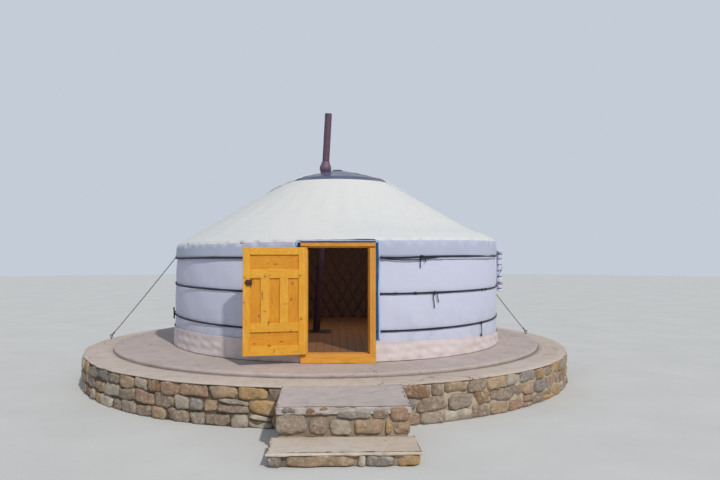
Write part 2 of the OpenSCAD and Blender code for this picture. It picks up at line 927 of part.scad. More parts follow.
module eye_bolt(side, top) {
  v = top - eye(side);
  translate(anchor(side)) {
    cylinder(d = 16, h = eye_stem + 2);
    translate([0, 0, eye_stem + eye_r])
      rotate([90, 0, atan2(v.y, v.x)])
        rotate_extrude()
          translate([eye_r, 0])
            circle(r = eye_wire);
  }
}

module guy_anchors() {
  color("#4b4741") {
    eye_bolt(-1, guy_left_top);
    eye_bolt(1, guy_right_top);
  }
}

module door_binding() {
  color("#2f5a85")
    difference() {
      intersection() {
        wall_ring(skirt_h + trim_lift, eave_h - 3, cloth_t);
        block([-half_door - trim_w, -big / 2, 0], [half_door + trim_w, 0, big]);
      }
      door_gap(0, slab_z + frame_h + 2);
      strap_zone(strap_mid, strap_mid_fall, strap_lean, strap_w + 2 * seat);
      strap_zone(strap_low, strap_low_fall, strap_lean, strap_w + 2 * seat);
    }
}

module rolled_cover() {
  color("#dcdde4")
    rotate([0, 0, roll_turn])
      translate([wall_r(strap_mid) + strap_t + roll_d / 2 + 2 * seat, 0, slab_z + roll_z])
        cylinder(d = roll_d, h = roll_l);
}

module chimney_pipe() {
  color("#6e4f4a")
    difference() {
      along_pipe()
        difference() {
          translate([0, 0, -pipe_at_z])
            cylinder(d = pipe_d, h = pipe_at_z + pipe_stand / cos(pipe_lean));
          translate([0, 0, -2 * pipe_at_z])
            cylinder(d = pipe_d - 2 * pipe_t, h = 2 * big);
        }
      block([-crown_r, -crown_r, -crown_r], [crown_r, crown_r, floor_z + plate_t + seat]);
    }
}

// The collar swells above its foot and draws in to the pipe.
collar_side = [[0.80, -0.30], [0.80, 0.06], [0.92, 0.20], [1, 0.36], [0.99, 0.50], [0.90, 0.66], [0.76, 0.82], [0.66, 1]];

module chimney_collar() {
  color("#5e4a49")
    difference() {
      along_pipe()
        rotate_extrude()
          polygon(concat([for (p = collar_side) [p.x * collar_d / 2, p.y * collar_h]],
            [[pipe_d / 2 + seat, collar_h], [pipe_d / 2 + seat, -0.3 * collar_h]]));
      rotate_extrude()
        polygon([[0, slab_z], [crown_r, slab_z], [crown_r, glass_under(crown_r) + glass_t + 2 * seat],
          [0, glass_under(0) + glass_t + 2 * seat]]);
    }
}

module hearth_plate() {
  foot_x = pipe_x - (pipe_at_z - floor_z) * tan(pipe_lean);
  color("#4a4442")
    block([foot_x - plate_w / 2, -plate_w / 2, floor_z], [foot_x + plate_w / 2, plate_w / 2, floor_z + plate_t]);
}

plinth_fill();
plinth_edge_wall();
plinth_outer_ring();
floor_slab();
landing_stones();
landing_slab();
lower_step_stones();
lower_step_slab();
floor_bearers();
board_floor();
door_sill();
door_frame();
hinge_plates();
door_leaf_frame();
door_leaf_panels();
door_lock();
door_handle();
door_hinges();
khana_1();
khana_2();
khana_3();
khana_4();
khana_5();
roof_poles_left();
roof_poles_right();
crown_rim();
crown_spokes();
crown_glazing();
crown_flap();
wall_cover_1();
wall_cover_2();
wall_cover_3();
wall_cover_4();
wall_cover_5();
base_skirt();
eave_band();
door_binding();
wall_straps();
strap_tails();
roof_cover_front();
roof_cover_right();
roof_cover_back();
roof_cover_left();
guy_ropes();
guy_anchors();
rolled_cover();
chimney_pipe();
chimney_collar();
hearth_plate();
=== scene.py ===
import math
import random

import bpy
import bmesh
import numpy as np
from mathutils import Matrix, Vector

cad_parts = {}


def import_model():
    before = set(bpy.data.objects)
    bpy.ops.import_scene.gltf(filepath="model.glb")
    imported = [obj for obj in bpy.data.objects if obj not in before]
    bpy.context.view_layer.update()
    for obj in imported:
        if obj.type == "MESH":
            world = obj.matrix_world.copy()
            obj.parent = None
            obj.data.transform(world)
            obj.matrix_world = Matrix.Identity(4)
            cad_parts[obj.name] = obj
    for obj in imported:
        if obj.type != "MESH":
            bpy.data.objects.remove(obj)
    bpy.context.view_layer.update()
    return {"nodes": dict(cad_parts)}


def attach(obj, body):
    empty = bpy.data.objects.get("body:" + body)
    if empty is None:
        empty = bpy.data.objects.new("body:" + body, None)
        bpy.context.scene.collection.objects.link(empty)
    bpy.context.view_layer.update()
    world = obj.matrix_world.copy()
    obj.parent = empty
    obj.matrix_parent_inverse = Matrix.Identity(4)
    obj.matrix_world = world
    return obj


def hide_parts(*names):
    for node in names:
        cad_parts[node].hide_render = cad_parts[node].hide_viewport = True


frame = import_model()
NODES = frame["nodes"]
TAU = 2 * math.pi

# Sizes, in metres, as in the CAD source
SLAB = 0.570
KHANA_R, R_FOOT, R_MID, R_EAVE = 2.720, 2.803, 2.797, 2.771
MID_H, EAVE_H, CROWN_H, CROWN_R = 0.985, 1.650, 2.785, 0.860
ROOF_TAN = (CROWN_H - EAVE_H) / (R_EAVE - CROWN_R)
COVER_V = 0.045 / math.cos(math.atan(ROOF_TAN))
BAND_H, SKIRT_H = 0.230, 0.255
PLINTH_X, PLINTH_R, RIM_Z = -0.150, 4.073, 0.520
STEPS_X, LANDING_W, LANDING_Z, LANDING_FALL = 0.045, 1.410, 0.510, 0.045
LANDING_FRONT, STEP_W, STEP_FRONT, STEP_H = 4.893, 1.490, 5.418, 0.150
CLEAR_W, CLEAR_H, JAMB_W, HEAD_H, SILL_H, REBATE = 0.825, 1.448, 0.102, 0.070, 0.122, 0.021
HALF_DOOR, FRAME_Y, FRAME_D = CLEAR_W / 2 + JAMB_W, 2.837, 0.180
FRAME_TOP = SLAB + SILL_H + CLEAR_H + HEAD_H
LEAF_W, LEAF_T, LEAF_H, LEAF_Z, OPEN_DEG = 0.853, 0.040, 1.446, 0.699, 169
HINGE = (-0.430, -2.843)
GLASS_TAN, GLASS_SKIRT, HUB_R = math.tan(math.radians(14)), 0.090, 0.090
CROWN_SEAT = SLAB + CROWN_H + 0.006
# the door's direction round the tent's middle, and the same after a whole turn
FRONT, ROUND = -math.pi / 2, 1.5 * math.pi
# half the gap that the wall leaves for the door frame, and the angle that it takes up at the eave
DOOR_CUT = HALF_DOOR + 0.0005
DOOR_A = math.asin(DOOR_CUT / R_EAVE)
# directions that a swept section's width is laid along
UP, ACROSS, ASKEW = (0, 0, 1.0), (1.0, 0, 0), (0.31, 0.17, 0.93)


def wall_r(h):
    """The wall's outer radius at height h over the slab."""
    h = np.asarray(h, float)
    low = R_FOOT + (R_MID - R_FOOT) * h / MID_H
    return np.where(h < MID_H, low, R_MID + (R_EAVE - R_MID) * (h - MID_H) / (EAVE_H - MID_H))


def roof_top(r):
    """The height of the roof cover over the slab at radius r."""
    return EAVE_H + (R_EAVE - r) * ROOF_TAN


# Noise that is the same in every run
def hash01(*ints, seed=0):
    """A number from 0 to 1 for each set of whole numbers."""
    h = np.full(np.broadcast(*ints).shape, seed * 7919 + 17, np.int64)
    for k, i in enumerate(ints):
        h = (h ^ (i.astype(np.int64) * (73856093, 19349663, 83492791)[k])) & 0x7FFFFFFF
        h = (h * 1103515245 + 12345) & 0x7FFFFFFF
        h = h ^ (h >> 13)
    return (h & 0xFFFFFF) / float(0xFFFFFF)


def noise2(u, v, seed=0, period=None):
    """Smooth noise from -1 to 1 on a plane, periodic in u where period is given."""
    u, v = np.broadcast_arrays(np.asarray(u, float), np.asarray(v, float))
    iu, iv = np.floor(u).astype(int), np.floor(v).astype(int)
    fu, fv = u - iu, v - iv
    fu, fv = fu * fu * (3 - 2 * fu), fv * fv * (3 - 2 * fv)
    wrap = (lambda i: i % period) if period else (lambda i: i)
    a, b = hash01(wrap(iu), iv, seed=seed), hash01(wrap(iu + 1), iv, seed=seed)
    c, d = hash01(wrap(iu), iv + 1, seed=seed), hash01(wrap(iu + 1), iv + 1, seed=seed)
    return 2 * ((a * (1 - fu) + b * fu) * (1 - fv) + (c * (1 - fu) + d * fu) * fv) - 1


def noise3(p, scale, seed=0):
    """Smooth noise from -1 to 1 at the points p."""
    q = np.asarray(p, float) * scale
    i = np.floor(q).astype(int)
    f = q - i
    f = f * f * (3 - 2 * f)
    out = 0
    for dx in (0, 1):
        for dy in (0, 1):
            for dz in (0, 1):
                w = ((f[:, 0] if dx else 1 - f[:, 0]) * (f[:, 1] if dy else 1 - f[:, 1])
                     * (f[:, 2] if dz else 1 - f[:, 2]))
                out = out + w * hash01(i[:, 0] + dx, i[:, 1] + dy, i[:, 2] + dz, seed=seed)
    return 2 * out - 1


# Materials
class Mat:
    """A Principled material whose nodes are made by short calls."""

    def __init__(self, name, **sockets):
        self.mat = bpy.data.materials.new(name)
        self.mat.use_nodes = True
        self.nt = self.mat.node_tree
        self.bsdf = self.nt.nodes["Principled BSDF"]
        for k, v in sockets.items():
            self.bsdf.inputs[k.replace("_", " ")].default_value = v

    def put(self, kind, _out=0, _props=(), **ins):
        n = self.nt.nodes.new("ShaderNode" + kind)
        for k, v in dict(_props).items():
            setattr(n, k, v)
        for k, v in ins.items():
            sock = n.inputs[int(k[1:])] if k[0] == "i" and k[1:].isdigit() else n.inputs[k.replace("_", " ")]
            if isinstance(v, bpy.types.NodeSocket):
                self.nt.links.new(v, sock)
            else:
                sock.default_value = v
        return n.outputs[_out]

    def where(self, scale=(1, 1, 1), island=0.0, base=None):
        """Object coordinates in metres, scaled, and moved by an island's own random number."""
        v = base or self.put("TexCoord", "Object")
        if island:
            r = self.put("NewGeometry", "Random Per Island")
            step = self.vector("SCALE", i0=(13.1 * island, 7.7 * island, 31.3 * island),
                            Scale=r)
            v = self.vector("ADD", i0=v, i1=step)
        return self.stretch(v, scale)

    def noise(self, vec, scale, detail=4.0, rough=0.55, distort=0.0):
        return self.put("TexNoise", "Fac", {}, Vector=vec, Scale=scale, Detail=detail, Roughness=rough,
                        Distortion=distort)

    def cells(self, vec, scale, feature="F1", out="Distance"):
        return self.put("TexVoronoi", out, {"feature": feature}, Vector=vec, Scale=scale)

    def span(self, fac, a0, a1, b0=0.0, b1=1.0):
        return self.put("MapRange", 0, {"clamp": True}, Value=fac, i1=a0, i2=a1, i3=b0, i4=b1)

    def math(self, op, a, b=0.0):
        return self.put("Math", 0, {"operation": op}, i0=a, i1=b)

    def times(self, a, b):
        return self.math("MULTIPLY", a, b)

    def plus(self, a, b):
        return self.math("ADD", a, b)

    def vector(self, op, _out=0, **ins):
        return self.put("VectorMath", _out, {"operation": op}, **ins)

    def stretch(self, vec, scale):
        return self.put("Mapping", 0, {}, Vector=vec, Scale=scale)

    def bands(self, uv, direction, scale, **ins):
        """Parallel stripes over the metres of a piece's own UV map."""
        return self.put("TexWave", "Fac", {"wave_type": "BANDS", "bands_direction": direction}, Vector=uv,
                        Scale=scale, **ins)

    def mix(self, fac, a, b):
        """Colours are written as sRGB 0-255 triples or are sockets."""
        n = self.nt.nodes.new("ShaderNodeMix")
        n.data_type = "RGBA"
        for sock, v in ((n.inputs[0], fac), (n.inputs[6], a), (n.inputs[7], b)):
            if isinstance(v, bpy.types.NodeSocket):
                self.nt.links.new(v, sock)
            else:
                sock.default_value = rgb(v) if isinstance(v, tuple) else v
        return n.outputs[2]

    def ramp(self, fac, stops, interp="LINEAR"):
        n = self.nt.nodes.new("ShaderNodeValToRGB")
        n.color_ramp.interpolation = interp
        while len(n.color_ramp.elements) < len(stops):
            n.color_ramp.elements.new(1.0)
        for e, (at, c) in zip(n.color_ramp.elements, stops):
            e.position, e.color = at, rgb(c)
        self.nt.links.new(fac, n.inputs[0])
        return n.outputs[0]

    def bump(self, *layers):
        """Each layer is (height, metres, strength)."""
        last = None
        for height, dist, strength in layers:
            ins = {"Height": height, "Distance": dist, "Strength": strength}
            if last:
                ins["Normal"] = last
            last = self.put("Bump", 0, {}, **ins)
        self.nt.links.new(last, self.bsdf.inputs["Normal"])
        return self

    def colour(self, c):
        if isinstance(c, tuple):
            self.bsdf.inputs["Base Color"].default_value = rgb(c)
        else:
            self.nt.links.new(c, self.bsdf.inputs["Base Color"])
        return self

    def rough(self, fac, lo, hi):
        self.nt.links.new(self.span(fac, 0.25, 0.75, lo, hi), self.bsdf.inputs["Roughness"])
        return self


def rgb(c):
    """An sRGB triple of 0 to 255 as linear values with alpha."""
    lin = [((x / 255) / 12.92 if x / 255 <= 0.04045 else ((x / 255 + 0.055) / 1.055) ** 2.4) for x in c]
    return (*lin, 1.0)


# scale of the stripes that stand for a canvas's threads
THREADS = 160.0


def canvas(name, clean, shade, dirt, dirt_top=0.0, dirt_amount=0.25, crumple=0.14):
    """Cotton canvas: plain weave, soft mottling, and dirt that thins out above dirt_top metres."""
    m = Mat(name, Roughness=0.88, Sheen_Weight=0.12, Sheen_Roughness=0.5)
    v = m.where()
    uv = m.put("UVMap", 0, {"uv_map": "metres"})
    big, mid, fine = m.noise(v, 0.45, 2, 0.4), m.noise(v, 5.5, 5, 0.6), m.noise(v, 70, 3, 0.7)
    col = m.mix(m.span(big, 0.3, 0.7), clean, shade)
    z = m.put("SeparateXYZ", 2, {}, Vector=v)
    low = m.span(z, dirt_top, dirt_top - 0.45)
    spots = m.span(mid, 0.42, 0.68)
    speck = m.span(fine, 0.56, 0.72)
    amount = m.times(m.plus(m.times(low, 0.92), 0.08),
                    m.times(m.plus(spots, m.times(speck, 0.35)), dirt_amount))
    col = m.mix(amount, col, dirt)
    warp = m.bands(uv, "X", THREADS)
    weft = m.bands(uv, "Y", THREADS)
    cloth = m.times(warp, weft)
    m.colour(m.mix(m.times(cloth, 0.10), col, dirt))
    m.rough(mid, 0.80, 0.95)
    return m.bump((cloth, 0.0006, 0.5), (m.noise(v, 11, 4, 0.6), 0.006, crumple), (fine, 0.0008, 0.3)).mat


def wood(name, light, mid, dark, axis, knots=1.0, gloss=(0.42, 0.6), worn=0.15, marks=()):
    """Boards with their grain along an axis, each with a grain of its own.
    The marks are knots seen from the front, each (x, z, half width, half height)."""
    along = {"X": (0.09, 1, 1), "Y": (1, 0.09, 1), "Z": (1, 1, 0.09)}[axis]
    m = Mat(name, Specular_IOR_Level=0.42)
    v = m.where(island=1.0)
    near = None
    if marks:
        place = m.put("TexCoord", "Object")
        stir = m.vector("SCALE", i0=m.put("TexNoise", "Color", {}, Vector=place, Scale=60.0),
                     Scale=0.012)
        place = m.vector("ADD", i0=place, i1=stir)
        for x, z, rx, rz in marks:
            q = m.vector("MULTIPLY_ADD", i0=place, i1=(1 / rx, 0, 1 / rz),
                      i2=(-(x + 0.006) / rx, 0, -(z + 0.006) / rz))
            d = m.vector("LENGTH", 1, i0=q)
            near = d if near is None else m.math("MINIMUM", near, d)
    g = m.stretch(v, along)
    wobble = m.noise(g, 7, 3, 0.5)
    rings = m.times(m.plus(m.noise(g, 9, 2, 0.4, 0.6), m.times(wobble, 0.35)), 95)
    if marks:
        # the grain runs round each knot
        rings = m.plus(rings, m.span(near, 3.4, 0.6, 0, 9))
    rings = m.span(m.math("SINE", rings), -1, 1)
    fibre = m.noise(g, 260, 3, 0.7)
    streak = m.noise(m.stretch(v, along), 38, 4, 0.6)
    col = m.mix(m.times(rings, 0.55), light, mid)
    col = m.mix(m.span(m.noise(v, 3.2, 3), 0.35, 0.7, 0, 0.5), col, mid)
    darker = tuple(int((a + 2 * b) / 3) for a, b in zip(dark, mid))
    col = m.mix(m.span(streak, 0.52, 0.75, 0, 0.55), col, darker)
    col = m.mix(m.times(m.span(fibre, 0.5, 0.8), 0.35), col, dark)
    if marks:
        core, halo = m.span(near, 1.1, 0.7), m.span(near, 3.0, 0.8)
    else:
        k = m.stretch(v, tuple(0.55 if a < 1 else 1.0 for a in along))
        dist = m.cells(k, 5.2)
        pick = m.put("SeparateColor", 0, {}, Color=m.cells(k, 5.2, out="Color"))
        there = m.times(m.math("GREATER_THAN", pick, 0.55), knots)
        core = m.times(m.span(dist, 0.105, 0.05), there)
        halo = m.times(m.span(dist, 0.26, 0.09), there)
    col = m.mix(m.times(halo, 0.5), col, tuple(int((a + b) / 2) for a, b in zip(dark, mid)))
    col = m.mix(m.times(core, 0.85), col, dark)
    wear = m.times(m.span(m.noise(v, 14, 5, 0.65), 0.5, 0.75), worn)
    m.colour(m.mix(wear, col, tuple(int(c * 0.72) for c in mid)))
    m.rough(fibre, *gloss)
    return m.bump((rings, 0.0006, 0.35), (fibre, 0.0007, 0.4), (core, 0.001, 0.4)).mat


def concrete(name, light, dark, warm, crack=1.0):
    m = Mat(name, Roughness=0.92)
    v = m.where()
    big, mid, fine = m.noise(v, 0.7, 4, 0.6), m.noise(v, 6, 6, 0.65), m.noise(v, 95, 4, 0.7)
    col = m.mix(m.span(big, 0.36, 0.66), light, warm)
    col = m.mix(m.span(mid, 0.46, 0.74, 0, 0.42), col, dark)
    trowel = m.noise(m.stretch(v, (0.16, 1.0, 1.0)), 26, 4, 0.6)
    col = m.mix(m.span(trowel, 0.52, 0.72, 0, 0.32), col, dark)
    grit = m.cells(v, 130)
    col = m.mix(m.span(grit, 0.30, 0.12, 0, 0.28), col, dark)
    col = m.mix(m.span(m.noise(v, 34, 3, 0.7), 0.58, 0.7, 0, 0.4), col, light)
    stir = m.vector("SCALE", i0=m.put("TexNoise", "Color", {}, Vector=v, Scale=3.5, Detail=5.0), Scale=0.5)
    line = m.cells(m.vector("ADD", i0=v, i1=stir), 0.9, "DISTANCE_TO_EDGE")
    cracks = m.times(m.times(m.span(line, 0.006, 0.001), m.span(big, 0.54, 0.6)), crack)
    col = m.mix(m.times(cracks, 0.75), col, tuple(int(c * 0.45) for c in dark))
    m.colour(col)
    m.rough(mid, 0.85, 0.98)
    return m.bump((fine, 0.003, 0.55), (mid, 0.010, 0.35), (grit, 0.0015, 0.35),
                  (m.math("SUBTRACT", 1.0, cracks), 0.003, 0.8)).mat


def stone(name, stops):
    """Field stones: each one has its own tone, with veins, spots and lichen."""
    m = Mat(name, Roughness=0.9)
    v = m.where(island=1.0)
    own = m.put("Attribute", "Fac", {"attribute_name": "tone"})
    col = m.ramp(own, stops, "CONSTANT")
    n1, n2, n3 = m.noise(v, 6, 5, 0.6), m.noise(v, 24, 6, 0.7), m.noise(v, 110, 3, 0.7)
    bed = m.noise(m.where((2.2, 2.2, 9.0), island=1.0), 7, 5, 0.65)
    col = m.mix(m.span(n1, 0.38, 0.66, 0, 0.55), col, (106, 88, 72))
    col = m.mix(m.span(bed, 0.50, 0.68, 0, 0.45), col, (96, 78, 66))
    col = m.mix(m.span(n2, 0.48, 0.68, 0, 0.62), col, (214, 202, 184))
    col = m.mix(m.span(n3, 0.52, 0.70, 0, 0.50), col, (76, 64, 56))
    lichen = m.times(m.span(m.cells(v, 11), 0.34, 0.22), m.span(m.noise(v, 4, 2), 0.52, 0.6))
    m.colour(m.mix(m.times(lichen, 0.4), col, (184, 182, 154)))
    m.rough(n2, 0.8, 0.98)
    return m.bump((n2, 0.014, 0.7), (n1, 0.03, 0.4), (bed, 0.012, 0.5), (n3, 0.003, 0.6)).mat


def metal(name, base, rust, rusty=0.5, rough=(0.4, 0.65), metallic=0.9):
    m = Mat(name, Metallic=metallic)
    v = m.where()
    n1, n2 = m.noise(v, 9, 6, 0.65), m.noise(v, 90, 4, 0.7)
    spots = m.span(m.plus(m.times(n1, 0.65), m.times(n2, 0.35)),
                   0.62 - 0.24 * rusty, 0.72 - 0.24 * rusty)
    m.colour(m.mix(spots, m.mix(m.span(n2, 0.4, 0.7), base, tuple(int(c * 0.75) for c in base)), rust))
    m.rough(n1, *rough)
    m.nt.links.new(m.span(spots, 0, 1, metallic, 0.05), m.bsdf.inputs["Metallic"])
    return m.bump((n2, 0.0008, 0.5), (spots, 0.0006, 0.6)).mat


def rope_mat(name, base, dark):
    m = Mat(name, Roughness=0.9, Sheen_Weight=0.08)
    uv = m.put("UVMap", 0, {"uv_map": "metres"})
    v = m.where()
    twist = m.bands(uv, "DIAGONAL", 26.0, Distortion=0.6, Detail=1.0)
    hair = m.noise(v, 420, 3, 0.7)
    # the dark colour in the twist's grooves is painted shade between the strands
    col = m.mix(m.span(twist, 0.15, 0.7), dark, base)
    col = m.mix(m.span(hair, 0.5, 0.75, 0, 0.35), col, tuple(min(255, int(c * 1.35)) for c in base))
    m.colour(col)
    return m.bump((twist, 0.003, 0.8), (hair, 0.0006, 0.5)).mat


# knots in the leaf's boards, at rest, each (x, z, half width, half height)
KNOTS = [(-0.841, 1.918, 0.013, 0.006), (-0.938, 1.922, 0.010, 0.004), (-0.977, 1.755, 0.006, 0.016),
         (-1.235, 1.740, 0.011, 0.007), (-1.246, 1.412, 0.007, 0.008), (-1.011, 1.520, 0.006, 0.030),
         (-1.008, 1.470, 0.005, 0.022), (-0.977, 1.288, 0.010, 0.006), (-0.928, 1.137, 0.007, 0.022),
         (-0.617, 1.657, 0.010, 0.012), (-0.631, 1.442, 0.011, 0.011), (-0.713, 1.383, 0.014, 0.004),
         (-0.924, 1.001, 0.008, 0.010), (-0.635, 1.016, 0.006, 0.012), (-1.113, 0.860, 0.012, 0.007),
         (-0.918, 0.830, 0.013, 0.008), (-0.762, 0.879, 0.014, 0.006), (-0.855, 0.757, 0.004, 0.018),
         (-1.060, 1.230, 0.006, 0.012), (-0.500, 1.180, 0.010, 0.012), (-0.520, 1.760, 0.009, 0.010)]
LEAF_LIGHT, LEAF_MID, LEAF_DARK = (240, 180, 60), (222, 152, 34), (112, 58, 12)
PANEL_LIGHT, PANEL_MID = (230, 160, 40), (210, 134, 20)

M = {
    "roof": canvas("roof_canvas", (226, 226, 224), (220, 222, 222), (176, 178, 182), dirt_top=3.2,
                   dirt_amount=0.10, crumple=0.08),
    # the wall's canvas is the roof's white cloth painted darker and bluer: painted sky shade on the upright
    # wall
    "wall": canvas("wall_canvas_sky_shaded", (212, 214, 234), (206, 210, 231), (150, 148, 160), dirt_top=1.3,
                   dirt_amount=0.28),
    "skirt": canvas("skirt_canvas", (232, 220, 220), (222, 210, 210), (168, 150, 138), dirt_top=1.1,
                    dirt_amount=0.42, crumple=0.2),
    # the valance's canvas is a darker, bluer copy of the roof's cloth: painted shade under the eave
    "band": canvas("band_canvas_painted_shade", (190, 196, 218), (184, 190, 213), (140, 142, 158), dirt_top=2.2,
                   dirt_amount=0.2, crumple=0.3),
    "pine_z": wood("door_pine_upright", LEAF_LIGHT, LEAF_MID, LEAF_DARK, "Z", marks=KNOTS),
    "pine_x": wood("door_pine_cross", LEAF_LIGHT, LEAF_MID, LEAF_DARK, "X", marks=KNOTS),
    "panel_z": wood("panel_pine_upright", PANEL_LIGHT, PANEL_MID, LEAF_DARK, "Z", marks=KNOTS),
    "panel_x": wood("panel_pine_cross", PANEL_LIGHT, PANEL_MID, LEAF_DARK, "X", marks=KNOTS),
    "frame_z": wood("frame_wood_upright", (230, 164, 64), (210, 140, 44), (134, 82, 32), "Z", knots=0.6),
    "frame_x": wood("frame_wood_cross", (230, 162, 56), (208, 136, 34), (134, 82, 32), "X", knots=0.5),
    "lattice": wood("lattice_wood", (104, 70, 54), (86, 56, 42), (54, 34, 26), "Z", knots=0.2,
                    gloss=(0.5, 0.7)),
    "pole": wood("pole_wood", (196, 104, 50), (168, 82, 38), (88, 42, 22), "Z", knots=0.2, gloss=(0.4, 0.6)),
    "floor": wood("floor_wood", (142, 98, 62), (118, 80, 50), (70, 46, 30), "Y", knots=0.5, gloss=(0.5, 0.75),
                  worn=0.5),
    "slab": concrete("slab_concrete", (196, 182, 178), (146, 133, 129), (186, 171, 163)),
    "ring": concrete("ring_concrete", (208, 194, 184), (152, 138, 128), (196, 180, 166)),
    "step": concrete("step_concrete", (200, 188, 184), (146, 134, 130), (188, 176, 172), crack=0.4),
    "lower": concrete("lower_step_concrete", (214, 202, 190), (158, 146, 134), (206, 190, 172), crack=0.4),
    "stone": stone("field_stone", [(0.0, (182, 152, 120)), (0.12, (154, 134, 116)), (0.26, (188, 176, 160)),
                                   (0.38, (152, 116, 84)), (0.48, (144, 138, 132)), (0.62, (198, 158, 100)),
                                   (0.72, (164, 148, 132)), (0.84, (174, 136, 112)),
                                   (0.92, (206, 194, 176))]),
    "fill": concrete("plinth_fill", (150, 140, 126), (112, 102, 90), (140, 126, 108), crack=0.0),
    "iron": metal("anchor_iron", (98, 92, 88), (108, 66, 44), 0.45),
    "hinge": metal("hinge_zinc", (214, 190, 138), (150, 104, 52), 0.25, (0.4, 0.6), 0.5),
    "crown": wood("crown_wood", (96, 68, 68), (78, 54, 56), (46, 33, 36), "Z", knots=0.2, gloss=(0.5, 0.7)),
    "steel": metal("door_steel", (92, 94, 98), (96, 66, 50), 0.2, (0.3, 0.45)),
    "lock": metal("lock_paint", (86, 40, 30), (120, 70, 48), 0.3, (0.45, 0.6), 0.15),
    "pipe": metal("rusty_pipe", (102, 84, 102), (114, 76, 82), 0.6, (0.6, 0.85), 0.3),
    "collar": metal("collar_tin", (124, 102, 122), (122, 84, 90), 0.4, (0.5, 0.75), 0.3),
    "plate": metal("hearth_iron", (82, 78, 76), (104, 66, 48), 0.4, (0.5, 0.7)),
    "rope": rope_mat("dark_rope", (36, 38, 58), (15, 15, 25)),
    "guy": rope_mat("grey_rope", (128, 130, 142), (74, 76, 90)),
}


def felt_mat():
    m = Mat("wool_felt", Roughness=0.95, Sheen_Weight=0.3)
    v = m.where()
    n = m.noise(v, 60, 5, 0.7)
    m.colour(m.mix(m.span(n, 0.35, 0.7), (112, 84, 70), (88, 66, 58)))
    return m.bump((n, 0.004, 0.5), (m.noise(v, 6, 3), 0.01, 0.3)).mat


def blue_mat(name, base, pale):
    m = Mat(name, Roughness=0.8, Sheen_Weight=0.15)
    v = m.where()
    n = m.noise(v, 22, 5, 0.65)
    m.colour(m.mix(m.span(n, 0.4, 0.75, 0, 0.6), base, pale))
    return m.bump((m.noise(v, 500, 2), 0.0006, 0.5), (n, 0.002, 0.3)).mat


def glass_mat():
    m = Mat("crown_glass", Roughness=0.18, IOR=1.45, Specular_IOR_Level=0.7, Alpha=0.86)
    v = m.where()
    n = m.noise(v, 3.0, 5, 0.65)
    dust = m.noise(v, 40, 4, 0.7)
    col = m.mix(m.span(n, 0.35, 0.7), (70, 78, 104), (98, 108, 138))
    m.colour(m.mix(m.span(dust, 0.5, 0.75, 0, 0.4), col, (128, 130, 142)))
    m.rough(n, 0.12, 0.4)
    return m.bump((n, 0.004, 0.15)).mat


def mortar_mat():
    """Dry, dark joints at the left of the plinth, pale mortar at its right."""
    m = Mat("wall_mortar", Roughness=0.95)
    v = m.where()
    n, fine = m.noise(v, 9, 5, 0.65), m.noise(v, 90, 4, 0.7)
    side = m.span(m.plus(m.put("SeparateXYZ", 0, {}, Vector=v), m.times(n, 2.0)), -0.2, 2.2)
    col = m.mix(side, (96, 84, 70), (186, 172, 152))
    m.colour(m.mix(m.span(n, 0.45, 0.7, 0, 0.5), col, (118, 104, 88)))
    return m.bump((fine, 0.004, 0.6), (n, 0.012, 0.5)).mat


M["mortar"] = mortar_mat()
M["felt"] = felt_mat()
M["blue"] = blue_mat("blue_binding", (22, 66, 118), (46, 102, 160))
M["pale"] = blue_mat("pale_piping", (150, 196, 236), (190, 218, 242))
M["glass"] = glass_mat()


# Mesh helpers
def link_object(name, data):
    """A new object in the scene."""
    ob = bpy.data.objects.new(name, data)
    bpy.context.scene.collection.objects.link(ob)
    return ob


def add(name, verts, faces, mats, body="tent", slot=None, replaces=(), smooth=True, index=None, uv=None):
    me = bpy.data.meshes.new(name)
    me.from_pydata([tuple(p) for p in np.asarray(verts, float)], [],
                   [tuple(int(i) for i in f) for f in faces])
    ob = link_object(name, me)
    for m in mats if isinstance(mats, (list, tuple)) else [mats]:
        me.materials.append(M[m])
    if index is not None:
        me.polygons.foreach_set("material_index", np.asarray(index, np.int32))
    me.polygons.foreach_set("use_smooth", np.full(len(me.polygons), smooth))
    if uv is not None:
        layer = me.uv_layers.new(name="metres")
        loops = np.zeros(len(me.loops), np.int32)
        me.loops.foreach_get("vertex_index", loops)
        layer.data.foreach_set("uv", np.asarray(uv, np.float32)[loops].ravel())
    me.update()
    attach(ob, body)
    if replaces:
        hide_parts(*replaces)
    return ob


def from_bm(name, bm, mats, **kw):
    bm.verts.index_update()
    verts = [v.co[:] for v in bm.verts]
    faces = [[v.index for v in f.verts] for f in bm.faces]
    index = [f.material_index for f in bm.faces]
    bm.free()
    return add(name, verts, faces, mats, index=index, **kw)


def solidify(ob, thick, offset=-1.0):
    mod = ob.modifiers.new("thick", "SOLIDIFY")
    mod.thickness, mod.offset, mod.use_even_offset = thick, offset, False
    return ob


def grid_faces(rows, cols, closed=False, keep=None):
    """Quads of a grid whose vertex (i, j) has the number i * cols + j."""
    last = cols if closed else cols - 1
    i, j = np.meshgrid(np.arange(rows - 1), np.arange(last), indexing="ij")
    if keep is not None:
        ok = keep(i, j)
        i, j = i[ok], j[ok]
    i, j = i.ravel(), j.ravel()
    k = (j + 1) % cols
    return np.stack([i * cols + j, i * cols + k, (i + 1) * cols + k, (i + 1) * cols + j], 1)


def polar(a, r, z, cx=0.0):
    return np.stack([cx + r * np.cos(a), r * np.sin(a), np.broadcast_to(z, r.shape)], -1).reshape(-1, 3)


